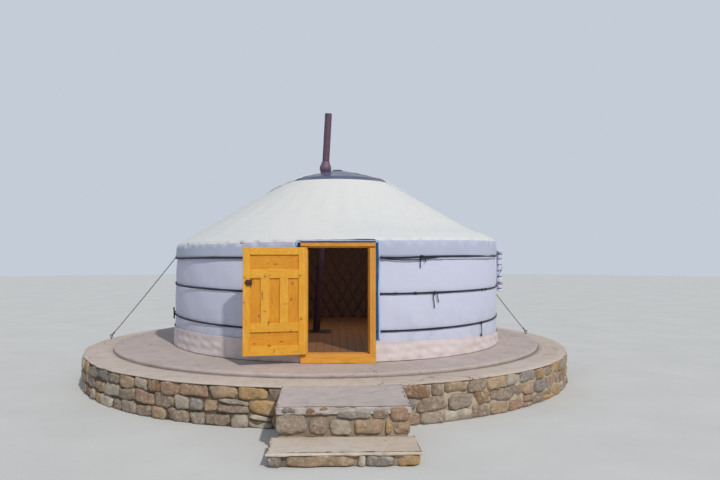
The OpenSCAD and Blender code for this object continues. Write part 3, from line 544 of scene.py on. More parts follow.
def revolve(name, section, mats, n=360, cx=0.0, wobble=None, slot=None, replaces=(), closed=True, **kw):
    """A closed section turned round the Z line at cx, roughened by wobble(a, r, z) -> (dr, dz)."""
    a = np.linspace(0, TAU, n, endpoint=False)
    s = np.array(section, float)
    r, z = np.repeat(s[:, :1], n, 1), np.repeat(s[:, 1:], n, 1)
    aa = np.repeat(a[None], len(s), 0)
    if wobble:
        dr, dz = wobble(aa, r, z)
        r, z = r + dr, z + dz
    f = grid_faces(len(s), n, True)
    if closed:
        k = np.arange(n)
        q = (len(s) - 1) * n
        f = np.concatenate([f, np.stack([q + k, q + (k + 1) % n, (k + 1) % n, k], 1)])
    return add(name, polar(aa, r, z, cx), f, mats, slot=slot, replaces=replaces, **kw)


def box_into(bm, lo, hi, bevel=0.003, segs=2, m=None, mat=0):
    """A bevelled box, with corners lo and hi."""
    lo, hi = Vector(lo), Vector(hi)
    made = bmesh.ops.create_cube(bm, size=1.0)["verts"]
    bmesh.ops.scale(bm, vec=hi - lo, verts=made)
    bmesh.ops.translate(bm, vec=(hi + lo) / 2, verts=made)
    faces = list({f for v in made for f in v.link_faces})
    if bevel:
        edges = list({e for v in made for e in v.link_edges})
        out = bmesh.ops.bevel(bm, geom=edges, offset=bevel, segments=segs, affect="EDGES", profile=0.5)
        made = list({v for f in out["faces"] for v in f.verts} | {v for v in made if v.is_valid})
        faces = list({f for v in made for f in v.link_faces})
    for f in faces:
        f.material_index = mat
    if m is not None:
        bmesh.ops.transform(bm, matrix=m, verts=list({v for f in faces for v in f.verts}))
    return faces


# Stones
def unit_stone(n=6):
    bm = bmesh.new()
    bmesh.ops.create_cube(bm, size=2.0)
    bmesh.ops.subdivide_edges(bm, edges=bm.edges[:], cuts=n - 1, use_grid_fill=True)
    bm.verts.index_update()
    v = np.array([x.co[:] for x in bm.verts])
    f = [[x.index for x in g.verts] for g in bm.faces]
    bm.free()
    return v, f


UNIT_V, UNIT_F = unit_stone(6)
BIG_V, BIG_F = unit_stone(10)


class Stones:
    """Field stones gathered into one piece, each a chipped and roughened block with a tone of its own."""

    def __init__(self, seed):
        self.rng = random.Random(seed)
        self.v, self.f, self.tone, self.n, self.k = [], [], [], 0, seed * 1000

    def lay(self, centre, half, turn=0.0, tilt=0.0, rough=0.05, square=5.0, big=False, tone=None):
        """half is half the length, depth and height; turn is about Z, and depth points outwards."""
        rng = self.rng
        unit, faces = (BIG_V, BIG_F) if big else (UNIT_V, UNIT_F)
        p = unit / (np.sum(np.abs(unit) ** square, 1) ** (1 / square))[:, None]
        for _ in range(9):
            d = np.array([rng.uniform(-1, 1), rng.uniform(-1, 1), rng.uniform(-1, 1)])
            d /= np.linalg.norm(d)
            reach = np.abs(d).sum() * rng.uniform(0.70, 0.88)
            over = np.maximum(p @ d - reach, 0)
            p = p - over[:, None] * d
        half = np.array(half, float)
        p = p * half
        self.k += 1
        s = 2.2 / max(half.max(), 0.05)
        size = float(np.cbrt(half.prod()))
        shift = np.array([self.k * 3.7, self.k * 1.3, 0])
        for i, (sc, am) in enumerate(((s, rough), (s * 2.6, rough * 0.45))):
            p = (p + np.stack([noise3(p + shift, sc, self.k * 3 + i),
                               noise3(p + shift + 50, sc, self.k * 3 + i),
                               noise3(p + shift + 90, sc, self.k * 3 + i)], 1) * am * size)
        if tilt:
            c, s_ = math.cos(tilt), math.sin(tilt)
            p = np.stack([p[:, 0] * c - p[:, 2] * s_, p[:, 1], p[:, 0] * s_ + p[:, 2] * c], 1)
        c, s_ = math.cos(turn), math.sin(turn)
        q = np.stack([p[:, 0] * c - p[:, 1] * s_, p[:, 0] * s_ + p[:, 1] * c, p[:, 2]], 1) + np.array(centre)
        self.v.append(q)
        self.f += [[i + self.n for i in f] for f in faces]
        self.tone += [rng.random() if tone is None else tone] * len(q)
        self.n += len(q)

    def build(self, name, limit=None, **kw):
        v = np.concatenate(self.v)
        if limit:
            v = limit(v)
        ob = add(name, v, self.f, "stone", **kw)
        tone = ob.data.attributes.new("tone", "FLOAT", "POINT")
        tone.data.foreach_set("value", np.array(self.tone, np.float32))
        return ob


def courses(rng, length, heights, lengths, gap=0.012):
    """A stretch of rubble as rectangles (u0, u1, z0, z1), in courses whose joints wander."""
    out = []
    n = len(heights) - 1
    edges = []
    for k in range(n):
        u, row = 0.0, [0.0]
        while u < length - lengths[0] * 0.7:
            u += rng.uniform(*lengths)
            row.append(u)
        row[-1] = length
        edges.append(row)
    for k, row in enumerate(edges):
        for a, b in zip(row, row[1:]):
            wob = rng.uniform(-0.012, 0.012)
            z0 = heights[k] + (wob if k else 0)
            z1 = heights[k + 1] + (rng.uniform(-0.012, 0.012) if k < n - 1 else 0)
            if rng.random() < 0.16 and b - a > 0.22:
                zm = z0 + (z1 - z0) * rng.uniform(0.42, 0.6)
                out += [(a + gap / 2, b - gap / 2, z0, zm - gap / 2),
                        (a + gap / 2, b - gap / 2, zm + gap / 2, z1 - gap)]
            else:
                out.append((a + gap / 2, b - gap / 2, z0, z1 - gap))
    return out


# how far round the plinth the upper step reaches, left and right of the plinth's front
STEP_LEFT = (LANDING_W / 2 - STEPS_X + PLINTH_X) / PLINTH_R
STEP_RIGHT = (LANDING_W / 2 + STEPS_X - PLINTH_X) / PLINTH_R


def rubble_ring():
    """The edge wall round the plinth, in three rough courses, left open behind the upper step."""
    st = Stones(3)
    rng = random.Random(11)
    a0 = FRONT + STEP_RIGHT - 0.012
    span = TAU - STEP_LEFT - STEP_RIGHT + 0.024
    depth = 0.12
    for u0, u1, z0, z1 in courses(rng, span * PLINTH_R, [0.0, 0.160, 0.330, 0.494], (0.19, 0.44)):
        a = a0 + (u0 + u1) / 2 / PLINTH_R
        out = rng.uniform(-0.012, 0.010)
        r = PLINTH_R - depth + out
        half = ((u1 - u0) / 2 * 1.01, depth * rng.uniform(0.92, 1.0), (z1 - z0) / 2 * 1.02)
        st.lay((PLINTH_X + r * math.cos(a), r * math.sin(a), (z0 + z1) / 2), half, turn=a - math.pi / 2,
               tilt=rng.uniform(-0.09, 0.09), rough=0.13, square=rng.uniform(7.0, 16.0))

    def limit(v):
        x, y = v[:, 0] - PLINTH_X, v[:, 1]
        r = np.hypot(x, y)
        k = np.minimum(1.0, (PLINTH_R + 0.018) / r)
        return np.stack([PLINTH_X + x * k, y * k, np.clip(v[:, 2], 0.001, 0.500)], 1)
    st.build("edge_stones", limit, slot="rubble_stone", replaces=("plinth_edge_wall",))
    face = PLINTH_R - 0.040
    sec = [(3.79, 0.002)] + [(face, z) for z in np.linspace(0.002, 0.478, 9)] + [(3.79, 0.478)]

    def rough_face(a, r, z):
        return np.where(r > 3.9, 0.016 * noise2(a * 540 / TAU / 3, z * 22, 5, 180), 0), 0 * z
    revolve("edge_mortar", sec, "mortar", 540, PLINTH_X, rough_face, slot="fill")


rubble_ring()


# Concrete
def worn(a, z, amount, seed):
    """Unevenness of a round slab's edge."""
    u = a * 360 / TAU
    return amount * (0.6 * noise2(u / 9, z * 9, seed, 40) + 0.4 * noise2(u / 3, z * 22, seed + 1, 120))


def plinth_slabs():
    ring = [(3.603, 0.482), (3.603, 0.514), (3.70, 0.517), (3.80, 0.518), (3.88, 0.518), (3.95, 0.516),
            (4.00, 0.513), (4.03, 0.509), (4.058, 0.503), (4.074, 0.496), (4.078, 0.489), (4.066, 0.483),
            (3.95, 0.482)]

    def wob(a, r, z):
        d = worn(a, z, 0.034, 4)
        out = np.where(r > 4.0, np.minimum(d, 0.008) - 0.010, 0)
        top = np.where((z > 0.49) & (r > 3.63), 0.004 * noise2(a * 90 / TAU * 3, r * 9, 8, 270), 0)
        return out, np.minimum(top, RIM_Z - z)
    revolve("ring_slab", ring, "ring", 720, PLINTH_X, wob, slot="concrete", replaces=("plinth_outer_ring",))
    radii = [3.58, 3.5, 3.4, 3.3, 3.2, 3.1, 3.0, 2.9, 2.8, 2.6, 2.2, 1.6, 1.0, 0.5, 0.02]
    inner = [(3.58, 0.500), (3.606, 0.506), (3.614, 0.520), (3.618, 0.536), (3.617, 0.550), (3.612, 0.561),
             (3.602, 0.567)]
    inner += [(r, 0.5695) for r in radii]

    def wob2(a, r, z):
        d = worn(a, z, 0.012, 14)
        out = np.where(r > 3.60, np.minimum(d, 0.000) - 0.001, 0)
        return out, np.where((z > 0.55) & (r > 0.1), -0.0025 * (1 + noise2(a * 60 / TAU * 2, r * 4, 9, 120)),
                             0)
    revolve("inner_slab", inner, "slab", 540, PLINTH_X, wob2, slot="concrete", replaces=("floor_slab",),
            closed=False)


plinth_slabs()


def slab_block(name, x0, x1, y0, y1, z0, z1, mat, replaces, cuts=(60, 34, 5), edge=0.018, seed=1, arc=None,
               sag=0.004, fall=0.0):
    """A floated slab with a ragged, rounded front and sides, whose top falls to its front at y0; arc is the
    plinth's radius behind it."""
    nx, ny, nz = cuts
    bm = bmesh.new()
    bmesh.ops.create_cube(bm, size=2.0)
    bm.faces.ensure_lookup_table()
    for axis, n in ((0, nx), (1, ny), (2, nz)):
        for k in range(1, n):
            at = -1 + 2 * k / n
            normal, point = [0, 0, 0], [0, 0, 0]
            normal[axis], point[axis] = 1, at
            bmesh.ops.bisect_plane(bm, geom=bm.verts[:] + bm.edges[:] + bm.faces[:], plane_co=point,
                                   plane_no=normal)
    bm.verts.index_update()
    p = np.array([v.co[:] for v in bm.verts])
    f = [[v.index for v in g.verts] for g in bm.faces]
    bm.free()
    half = np.array([(x1 - x0) / 2, (y1 - y0) / 2, (z1 - z0) / 2])
    mid = np.array([(x1 + x0) / 2, (y1 + y0) / 2, (z1 + z0) / 2])
    q = p * half + mid
    rad = 0.022
    top = np.clip((q[:, 2] - (z1 - rad)) / rad, 0, 1)
    rounding = rad * (1 - np.sqrt(np.clip(1 - top ** 2, 0, 1)))
    side_x, front = np.abs(p[:, 0]) > 0.999, p[:, 1] < -0.999
    n1 = noise3(q, 7.0, seed)
    n2 = noise3(q, 26.0, seed + 1)
    push = edge * (0.35 + 0.45 * n1 + 0.3 * n2)
    push = np.clip(push, 0.001, None) + rounding
    q[:, 0] -= np.where(side_x, np.sign(p[:, 0]) * push, 0)
    q[:, 1] += np.where(front, push, 0)
    n3 = noise3(q, 3.5, seed + 2) * 0.6 + noise3(q, 14, seed + 3) * 0.4
    is_top = p[:, 2] > 0.999
    q[:, 2] += np.where(is_top, -sag * (0.6 + 0.6 * n3), 0)
    q[:, 2] = np.minimum(q[:, 2], z1)
    low = p[:, 2] < -0.999
    q[:, 2] += np.where(low & (front | side_x), 0.012 * np.clip(n1, -0.5, 1), 0)
    q[:, 2] -= fall * (1 - p[:, 1]) / 2 * (1 + p[:, 2]) / 2
    if arc:
        x = q[:, 0] - PLINTH_X
        back = -np.sqrt(arc * arc - x * x)
        t = (p[:, 1] + 1) / 2
        q[:, 1] = q[:, 1] + (back - y1) * t
    return add(name, q, f, mat, slot="concrete", replaces=replaces)


slab_block("upper_step_slab", STEPS_X - 0.722, STEPS_X + 0.722, -LANDING_FRONT - 0.016, -4.09, 0.384,
           LANDING_Z, "step", ("landing_slab",), cuts=(100, 50, 6), edge=0.050, seed=21, arc=4.082,
           fall=LANDING_FALL)
slab_block("lower_step_top", STEPS_X - 0.763, STEPS_X + 0.763, -STEP_FRONT - 0.018, -LANDING_FRONT + 0.01,
           0.116, STEP_H, "lower", ("lower_step_slab",), cuts=(100, 34, 4), edge=0.024, seed=31, sag=0.006)


# The steps' rubble
def step_rubble():
    st = Stones(7)
    rng = random.Random(5)
    front, foot = -LANDING_FRONT, 0.160
    # (left, right, foot, top, tone) of each stone on the upper step's front face, as it shows in the photo
    rows = [(-0.665, -0.335, foot, 0.395, 0.75), (-0.600, -0.430, 0.400, 0.452, 0.50),
            (-0.385, -0.065, 0.372, 0.452, 0.40), (-0.320, -0.105, foot, 0.360, 0.15),
            (-0.030, 0.340, 0.335, 0.412, 0.55), (-0.095, 0.135, foot, 0.325, 0.30),
            (0.150, 0.470, foot, 0.322, 0.05), (0.350, 0.520, 0.330, 0.420, 0.20),
            (0.480, 0.560, foot, 0.315, 0.65), (0.530, 0.750, 0.300, 0.456, 0.88),
            (0.570, 0.745, foot, 0.290, 0.10), (-0.655, -0.30, 0.010, 0.150, 0.30),
            (-0.28, 0.10, 0.010, 0.150, 0.75), (0.12, 0.42, 0.010, 0.150, 0.15),
            (0.44, 0.74, 0.010, 0.150, 0.55)]
    for x0, x1, z0, z1, tone in rows:
        st.lay(((x0 + x1) / 2, front + 0.075, (z0 + z1) / 2), ((x1 - x0) / 2, 0.088, (z1 - z0) / 2),
               rough=0.12, square=rng.uniform(3.4, 5), tilt=rng.uniform(-0.05, 0.05), big=True, tone=tone)
    for side in (-1, 1):
        for u0, u1, z0, z1 in courses(rng, 0.72, [0.004, 0.14, 0.27, 0.392], (0.17, 0.34)):
            st.lay((STEPS_X + side * 0.622, -4.81 + (u0 + u1) / 2, (z0 + z1) / 2),
                   ((u1 - u0) / 2, 0.08, (z1 - z0) / 2), turn=side * math.pi / 2, rough=0.10,
                   tilt=rng.uniform(-0.06, 0.06), square=rng.uniform(3, 5))

    def limit(v):
        half = LANDING_W / 2 + 0.003
        return np.stack([np.clip(v[:, 0], STEPS_X - half, STEPS_X + half), np.clip(v[:, 1], front - 0.014, 0),
                         np.clip(v[:, 2], 0.002, 0.456)], 1)
    st.build("upper_step_stones", limit, slot="rubble_stone", replaces=("landing_stones",))
    st = Stones(9)
    for x0, x1, tone in ((-0.70, -0.56, 0.50), (-0.52, 0.16, 0.02), (0.18, 0.25, 0.95), (0.26, 0.54, 0.52),
                         (0.56, 0.79, 0.66)):
        st.lay(((x0 + x1) / 2, -STEP_FRONT + 0.078, 0.062), ((x1 - x0) / 2, 0.085, 0.060), rough=0.12,
               square=4.5, big=True, tone=tone)
    for side in (-1, 1):
        for u0, u1, z0, z1 in courses(rng, 0.36, [0.004, 0.118], (0.14, 0.26)):
            st.lay((STEPS_X + side * 0.662, -STEP_FRONT + 0.16 + (u0 + u1) / 2, (z0 + z1) / 2),
                   ((u1 - u0) / 2, 0.08, (z1 - z0) / 2), turn=side * math.pi / 2, rough=0.10)

    def limit2(v):
        half = STEP_W / 2 + 0.003
        return np.stack([np.clip(v[:, 0], STEPS_X - half, STEPS_X + half),
                         np.clip(v[:, 1], -STEP_FRONT - 0.012, 0), np.clip(v[:, 2], 0.002, 0.124)], 1)
    st.build("lower_step_stones_face", limit2, slot="rubble_stone", replaces=("lower_step_stones",))
    bm = bmesh.new()
    box_into(bm, (STEPS_X - 0.675, -4.865, 0.002), (STEPS_X + 0.675, -4.04, 0.386), 0.01)
    box_into(bm, (STEPS_X - 0.715, -5.385, 0.002), (STEPS_X + 0.715, -4.884, 0.118), 0.01)
    bmesh.ops.subdivide_edges(bm, edges=bm.edges[:], cuts=7, use_grid_fill=True)
    for v in bm.verts:
        n = noise3(np.array([v.co[:]]), 11, 3)[0] * 0.008
        v.co += Vector((math.copysign(n, v.co.x) if abs(v.co.x) > 0.6 else 0, n, 0))
    from_bm("steps_mortar", bm, ["mortar"], slot="fill")


step_rubble()


# Cloth round the wall
STRAPS = [(EAVE_H - BAND_H + 0.018, 0.0, -0.018), (0.985, 0.045, 0.030), (0.490, 0.065, 0.030)]


def strap_h(k, a):
    h, fall, lean = STRAPS[k]
    return h + fall * np.sin(a) - lean * np.cos(a)


def dips(a, centres, width):
    """The sum of bumps of one width at the given angles."""
    out = np.zeros_like(a)
    for c, k in centres:
        d = (a - c + math.pi) % TAU - math.pi
        out += k * np.exp(-(d / width) ** 2)
    return out


def pleats(seed, n, lo=0.5, hi=1.0, jitter=0.4):
    rng = random.Random(seed)
    return [((i + rng.uniform(-jitter, jitter)) * TAU / n, rng.uniform(lo, hi)) for i in range(n)]


def ring_cloth(name, h0, h1, lift, mat, relief, rows, cols=900, thick=0.0025, top=None, **kw):
    """A strip of cloth round the wall from height h0 to h1, or to top(a).
    relief(a, h) is how far it stands out."""
    a = np.linspace(FRONT + DOOR_A, ROUND - DOOR_A, cols)
    h = np.linspace(h0, h1, rows)
    aa, hh = np.meshgrid(a, h)
    if top:
        hh = h0 + (hh - h0) * (top(aa) - h0) / (h1 - h0)
    r = wall_r(hh) + lift + relief(aa, hh)
    # at the door the wall's cut edge stands upright in X, at any height
    half = np.arcsin(DOOR_CUT / r)
    t = (aa - FRONT - DOOR_A) / (TAU - 2 * DOOR_A)
    ang = FRONT + half + t * (TAU - 2 * half)
    ob = add(name, polar(ang, r, SLAB + hh), grid_faces(rows, cols), mat,
             uv=np.stack([aa.ravel() * R_FOOT, hh.ravel()], 1), **kw)
    return solidify(ob, thick)


def wall_relief(a, h):
    out = 0.004 * noise2(a * 40 / TAU, h * 1.2, 3, 40) + 0.0022 * noise2(a * 150 / TAU, h * 2.5, 4, 150)
    gather = pleats(8, 120)
    fine = dips(a, gather, 0.012)
    for k in range(3):
        d = h - strap_h(k, a)
        near = np.exp(-(d / 0.030) ** 2)
        out -= 0.006 * near
        out -= 0.0035 * fine * np.exp(-(d / 0.09) ** 2)
    bulge = np.sin(np.clip((h - strap_h(2, a)) / (strap_h(1, a) - strap_h(2, a)), 0, 1) * math.pi)
    bulge += np.sin(np.clip((h - strap_h(1, a)) / (strap_h(0, a) - strap_h(1, a)), 0, 1) * math.pi)
    out += 0.006 * bulge
    # long diagonal pulls
    out += 0.0025 * np.sin(a * 23 + h * 7 + 2 * noise2(a * 9 / TAU, h, 12, 9)) * bulge
    seams = dips(a, [(-1.08, 1), (0.03, 1), (1.2, 1), (2.3, 1), (3.35, 1), (4.15, 1)], 0.0045)
    return out + 0.0025 * seams - 0.003


def skirt_top(a):
    """The skirt's upper edge, which hangs higher at the left and back than at the right."""
    at = np.radians([-90, -78, -62, -50, -36, -20, 20, 70, 140, 200, 250, 270])
    h = np.interp(a, at, [0.280, 0.276, 0.266, 0.250, 0.215, 0.195, 0.215, 0.250, 0.285, 0.308, 0.300, 0.295])
    return h + 0.005 * noise2(a * 46 / TAU, a * 0, 24, 46)


def skirt_relief(a, h):
    t = h / skirt_top(a)
    fold = 0.0026 * np.sin(h * 52 + 2.2 * noise2(a * 24 / TAU, h * 2, 21, 24) + a * 1.3)
    rip = (0.004 * noise2(a * 70 / TAU + 2.0 * t, h * 3, 22, 70)
           + 0.0025 * noise2(a * 190 / TAU, h * 9, 23, 190))
    drag = 0.002 * np.sin(a * 61 + h * 38 + 3 * noise2(a * 17 / TAU, h * 3, 25, 17))
    drag = drag * np.sin(np.clip(t, 0, 1) * math.pi)
    lip = 0.004 * np.exp(-((1 - t) / 0.05) ** 2)
    return fold + rip + drag + lip + 0.013 * (1 - t) ** 1.5 + 0.003


wall = ring_cloth("wall_canvas_sky_shaded", 0.004, EAVE_H - 0.02, -0.002, "wall", wall_relief, 60, 640,
                  replaces=tuple(f"wall_cover_{i}" for i in range(1, 6)), slot="canvas")
skirt = ring_cloth("skirt_canvas", 0.003, SKIRT_H, 0.006, "skirt", skirt_relief, 28, 1100, top=skirt_top,
                   replaces=("base_skirt",), slot="skirt")


def shell_faces(m, c, hidden=None):
    """The skin and both ends of a shell of c columns, whose section runs out and back over m points."""
    k = np.arange(c - 1)
    skin = np.concatenate([grid_faces(m, c), np.stack([(m - 1) * c + k, (m - 1) * c + k + 1, k + 1, k], 1)])
    faces = [list(x) for x in skin if hidden is None or not hidden[x].all()]
    for j, flip in ((0, False), (c - 1, True)):
        for q in range(m // 2 - 1):
            quad = [q * c + j, (q + 1) * c + j, (m - 2 - q) * c + j, (m - 1 - q) * c + j]
            faces.append(quad[::-1] if flip else quad)
    return faces


def felt_shells():
    """The felt under the canvas, five lengths round the wall and four on the roof, seen from inside."""
    verts, faces, n = [], [], 0
    span = (TAU - 2 * DOOR_A) / 5
    for i in range(5):
        a = np.linspace(FRONT + DOOR_A + i * span + 0.002, FRONT + DOOR_A + (i + 1) * span - 0.002, 60)
        h_up = np.linspace(0.006, EAVE_H - 0.03, 16)
        sec = [(KHANA_R + 0.002, h) for h in h_up] + [(float(wall_r(h)) - 0.014, h) for h in h_up[::-1]]
        aa = np.repeat(a[None], len(sec), 0)
        s = np.array(sec)
        r = np.repeat(s[:, :1], len(a), 1)
        inner = r < KHANA_R + 0.01
        r = r + np.where(inner, 0.006 * (1 + noise2(aa * 60, s[:, 1:] * 9, 31 + i)), 0)
        jamb = HALF_DOOR + 0.002
        half = math.asin(jamb / KHANA_R)
        ok = np.abs(aa - FRONT) < half, np.abs(aa - ROUND) < half
        aa = np.where(ok[0], FRONT + np.arcsin(jamb / r), aa)
        aa = np.where(ok[1], ROUND - np.arcsin(jamb / r), aa)
        v = polar(aa, r, SLAB + s[:, 1:] * np.ones_like(r))
        verts.append(v)
        faces += [[y + n for y in x] for x in shell_faces(len(sec), len(a))]
        n += len(v)
    ob = add("wall_felt", np.concatenate(verts), faces, "felt", slot="canvas")
    verts, faces, n = [], [], 0
    rs = np.linspace(CROWN_R + 0.004, R_EAVE - 0.02, 22)
    for i in range(4):
        start, end = -0.75 * math.pi + i * math.pi / 2, -0.25 * math.pi + i * math.pi / 2
        a = np.linspace(start + 0.001, end - 0.001, 80)
        under = roof_top(rs) - COVER_V + 0.001
        over = roof_top(rs) - 0.016
        rr = np.concatenate([rs, rs[::-1]])
        zz = np.concatenate([under, over[::-1]])
        aa, r = np.meshgrid(a, rr)
        z = np.repeat(zz[:, None], len(a), 1)
        inner = np.arange(len(rr))[:, None] < len(rs)
        z = z + np.where(inner, 0.003 * (1 + noise2(aa * 30, r * 8, 41 + i)), 0)
        v = polar(aa, r, SLAB + z)
        inside_door = (np.abs(v[:, 0]) < HALF_DOOR + 0.003) & (v[:, 1] < -2.6)
        verts.append(v)
        faces += [[y + n for y in x] for x in shell_faces(len(rr), len(a), inside_door)]
        n += len(v)
    ob = add("roof_felt", np.concatenate(verts), faces, "felt", slot="roof_canvas")


felt_shells()


# Roof canvas with its valance
def roof_canvas():
    cols = 720
    a = np.linspace(FRONT, ROUND, cols, endpoint=False)
    step = TAU / cols
    door_cols = int(round(DOOR_A / step))
    a_edge = DOOR_A
    # the columns either side of the door lie on the frame's outer sides
    a = a.copy()
    for s in (1, -1):
        a[(s * door_cols) % cols] = FRONT + a_edge if s > 0 else ROUND - a_edge
    rs = np.concatenate([[CROWN_R - 0.004, CROWN_R + 0.01], np.linspace(CROWN_R + 0.05, R_EAVE - 0.075, 34)])
    line = [(r, roof_top(r)) for r in rs]
    # the rounded eave, then the valance hanging down past the upper strap
    bend = 0.070
    cx, cz = R_EAVE + 0.002 - bend, roof_top(R_EAVE - bend) - bend * 1.06
    for t in np.linspace(62, 0, 8):
        line.append((cx + bend * math.cos(math.radians(t)), cz + bend * math.sin(math.radians(t))))
    head = FRAME_TOP - SLAB + 0.004
    low = EAVE_H - BAND_H - 0.012
    hs = np.linspace(line[-1][1] - 0.012, low, 20)
    line += [(float(wall_r(h)) + 0.007, h) for h in hs]
    line = np.array(line)
    cut = int(np.argmin(np.abs(line[:, 1] - head) + (line[:, 0] < 2.5) * 9))
    line[cut, 1] = head
    rows = len(line)
    aa = np.repeat(a[None], rows, 0)
    r, h = np.repeat(line[:, :1], cols, 1), np.repeat(line[:, 1:], cols, 1)
    on_roof = np.clip((roof_top(CROWN_R) - h) / 0.3, 0, 1) * (r < R_EAVE - 0.05)
    # broad soft pleats down the roof, one between each pair of poles
    t = np.clip((r - CROWN_R) / (R_EAVE - CROWN_R), 0, 1)
    sag = (-0.006 * np.sin(t * math.pi) * (0.5 + 0.5 * np.cos(aa * 36))
           + 0.004 * noise2(aa * 20 / TAU, r * 1.3, 51, 20) * t)
    sag += 0.003 * np.sin(t * math.pi) * noise2(aa * 72 / TAU, r * 0.7, 52, 72)
    h = h + np.where(r < R_EAVE - 0.03, np.minimum(sag, 0.004) * on_roof, 0)
    # puckers where the eave turns
    puck = dips(aa, pleats(61, 72, 0.3, 1.0, 0.45), 0.018)
    at_eave = np.exp(-((h - (EAVE_H - 0.030)) / 0.030) ** 2) * (r > R_EAVE - 0.12)
    r = r - 0.038 * puck * at_eave
    # the felt under the eave is thicker at the right and pushes the canvas up and out
    plump = 0.034 + 0.044 * np.cos(aa) + 0.004 * noise2(aa * 22 / TAU, 0 * aa, 64, 22)
    rise = np.clip((r - 2.15) / 0.45, 0, 1) ** 2 * np.clip((h - (EAVE_H - 0.16)) / 0.12, 0, 1)
    hang = np.clip((h - low) / 0.05, 0, 1) * (h < EAVE_H - 0.012)
    r = (r + hang * (0.006 + 0.014 * np.clip(np.cos(aa), 0, 1))
         * (1 + 0.5 * noise2(aa * 34 / TAU, h * 7, 65, 34)))
    d = h - strap_h(0, aa)
    h = h + plump * rise
    flutes = noise2(aa * 130 / TAU, h * 1.5, 62, 130)
    val = np.clip((EAVE_H - 0.03 - h) / 0.15, 0, 1)
    r = r + val * (0.0035 * flutes + 0.003 * noise2(aa * 30 / TAU, h * 4, 63, 30))
    r = r - (0.004 + 0.010 * hang) * np.exp(-(d / 0.020) ** 2)
    j = np.arange(cols)
    in_door = (j < door_cols) | (j >= cols - door_cols)
    f = grid_faces(rows, cols, True, keep=lambda i, j: ~(in_door[j] & (i >= cut)))
    # the rows below the eave take the valance canvas, whose darker colour is painted shade
    ob = add("roof_canvas", polar(aa, r, SLAB + h), f, ["roof", "band"],
             index=(f[:, 0] // cols >= 36 + 6).astype(int),
             uv=np.stack([aa.ravel() * R_FOOT,
                          np.repeat(np.cumsum(np.r_[0, np.hypot(*np.diff(line, axis=0).T)]), cols)], 1),
             replaces=("roof_cover_front", "roof_cover_right", "roof_cover_back", "roof_cover_left",
                       "eave_band"), slot="roof_canvas")
    solidify(ob, 0.0025)


roof_canvas()


# Straps
def sweep(path, width, thick, up, n=8):
    """A rounded flat section swept along path; up is its width's direction, at each point or for all."""
    p = np.array(path, float)
    t = np.gradient(p, axis=0)
    t /= np.linalg.norm(t, axis=1)[:, None]
    u = np.broadcast_to(np.array(up, float), p.shape)
    u = u - np.sum(u * t, 1)[:, None] * t
    u /= np.linalg.norm(u, axis=1)[:, None]
    w = np.cross(t, u)
    k = np.linspace(0, TAU, n, endpoint=False) + TAU / n / 2
    cu, cw = np.cos(k), np.sin(k)
    e = 0.6
    cu, cw = np.sign(cu) * np.abs(cu) ** e, np.sign(cw) * np.abs(cw) ** e
    width, thick = np.broadcast_to(width, len(p)), np.broadcast_to(thick, len(p))
    v = (p[:, None] + u[:, None] * (cu[None, :, None] * width[:, None, None] / 2)
         + w[:, None] * (cw[None, :, None] * thick[:, None, None] / 2))
    f = [list(x) for x in grid_faces(len(p), n, True)]
    f.append(list(range(n))[::-1])
    f.append([(len(p) - 1) * n + i for i in range(n)])
    run = np.r_[0, np.cumsum(np.linalg.norm(np.diff(p, axis=0), axis=1))]
    uv = np.stack([np.repeat(run, n), np.tile(np.arange(n) / n * 0.06, len(p))], 1)
    return v.reshape(-1, 3), f, uv


class Parts:
    """Several closed meshes gathered into one piece."""

    def __init__(self):
        self.v, self.f, self.uv, self.n = [], [], [], 0

    def take(self, v, f, uv):
        self.v.append(v)
        self.f += [[i + self.n for i in x] for x in f]
        self.uv.append(uv)
        self.n += len(v)

    def build(self, name, mat, **kw):
        return add(name, np.concatenate(self.v), self.f, mat, uv=np.concatenate(self.uv), **kw)


def tube_path(pts, d, n=8):
    """A round cord through the given points, smoothed."""
    return sweep(smooth_path(pts), d, d, ASKEW, n)


def smooth_path(pts, per=8):
    """A Catmull-Rom line through the points."""
    p = [np.array(q, float) for q in pts]
    p = [2 * p[0] - p[1]] + p + [2 * p[-1] - p[-2]]
    out = []
    for i in range(1, len(p) - 2):
        for t in np.linspace(0, 1, per, endpoint=False):
            a, b, c, d = p[i - 1:i + 3]
            out.append(0.5 * (2 * b + (c - a) * t + (2 * a - 5 * b + 4 * c - d) * t * t
                              + (3 * b - a - 3 * c + d) * t ** 3))
    out.append(p[-2])
    return np.array(out)


def knot(parts, at, out, size, d):
    """An overhand knot as a short tube wound round itself, its middle at a point on the wall."""
    at, out = np.array(at, float), np.array(out, float)
    side = np.cross(out, [0, 0, 1.0])
    t = np.linspace(0, TAU, 48)
    x, y, z = np.sin(t) + 2 * np.sin(2 * t), np.cos(t) - 2 * np.cos(2 * t), -np.sin(3 * t)
    p = (at + (side * x[:, None] + np.array([0, 0, 1.0]) * y[:, None]) * size / 6
         + out * (z[:, None] * size / 7))
    parts.take(*sweep(p, d, d, out + 0.01, 8))


def out_and_side(a):
    """The level directions away from the tent's middle, and to the left of that, at angle a."""
    return np.array([math.cos(a), math.sin(a), 0]), np.array([-math.sin(a), math.cos(a), 0])


def on_wall(a, h, lift):
    r = float(wall_r(h)) + lift
    return np.array([r * math.cos(a), r * math.sin(a), SLAB + h])


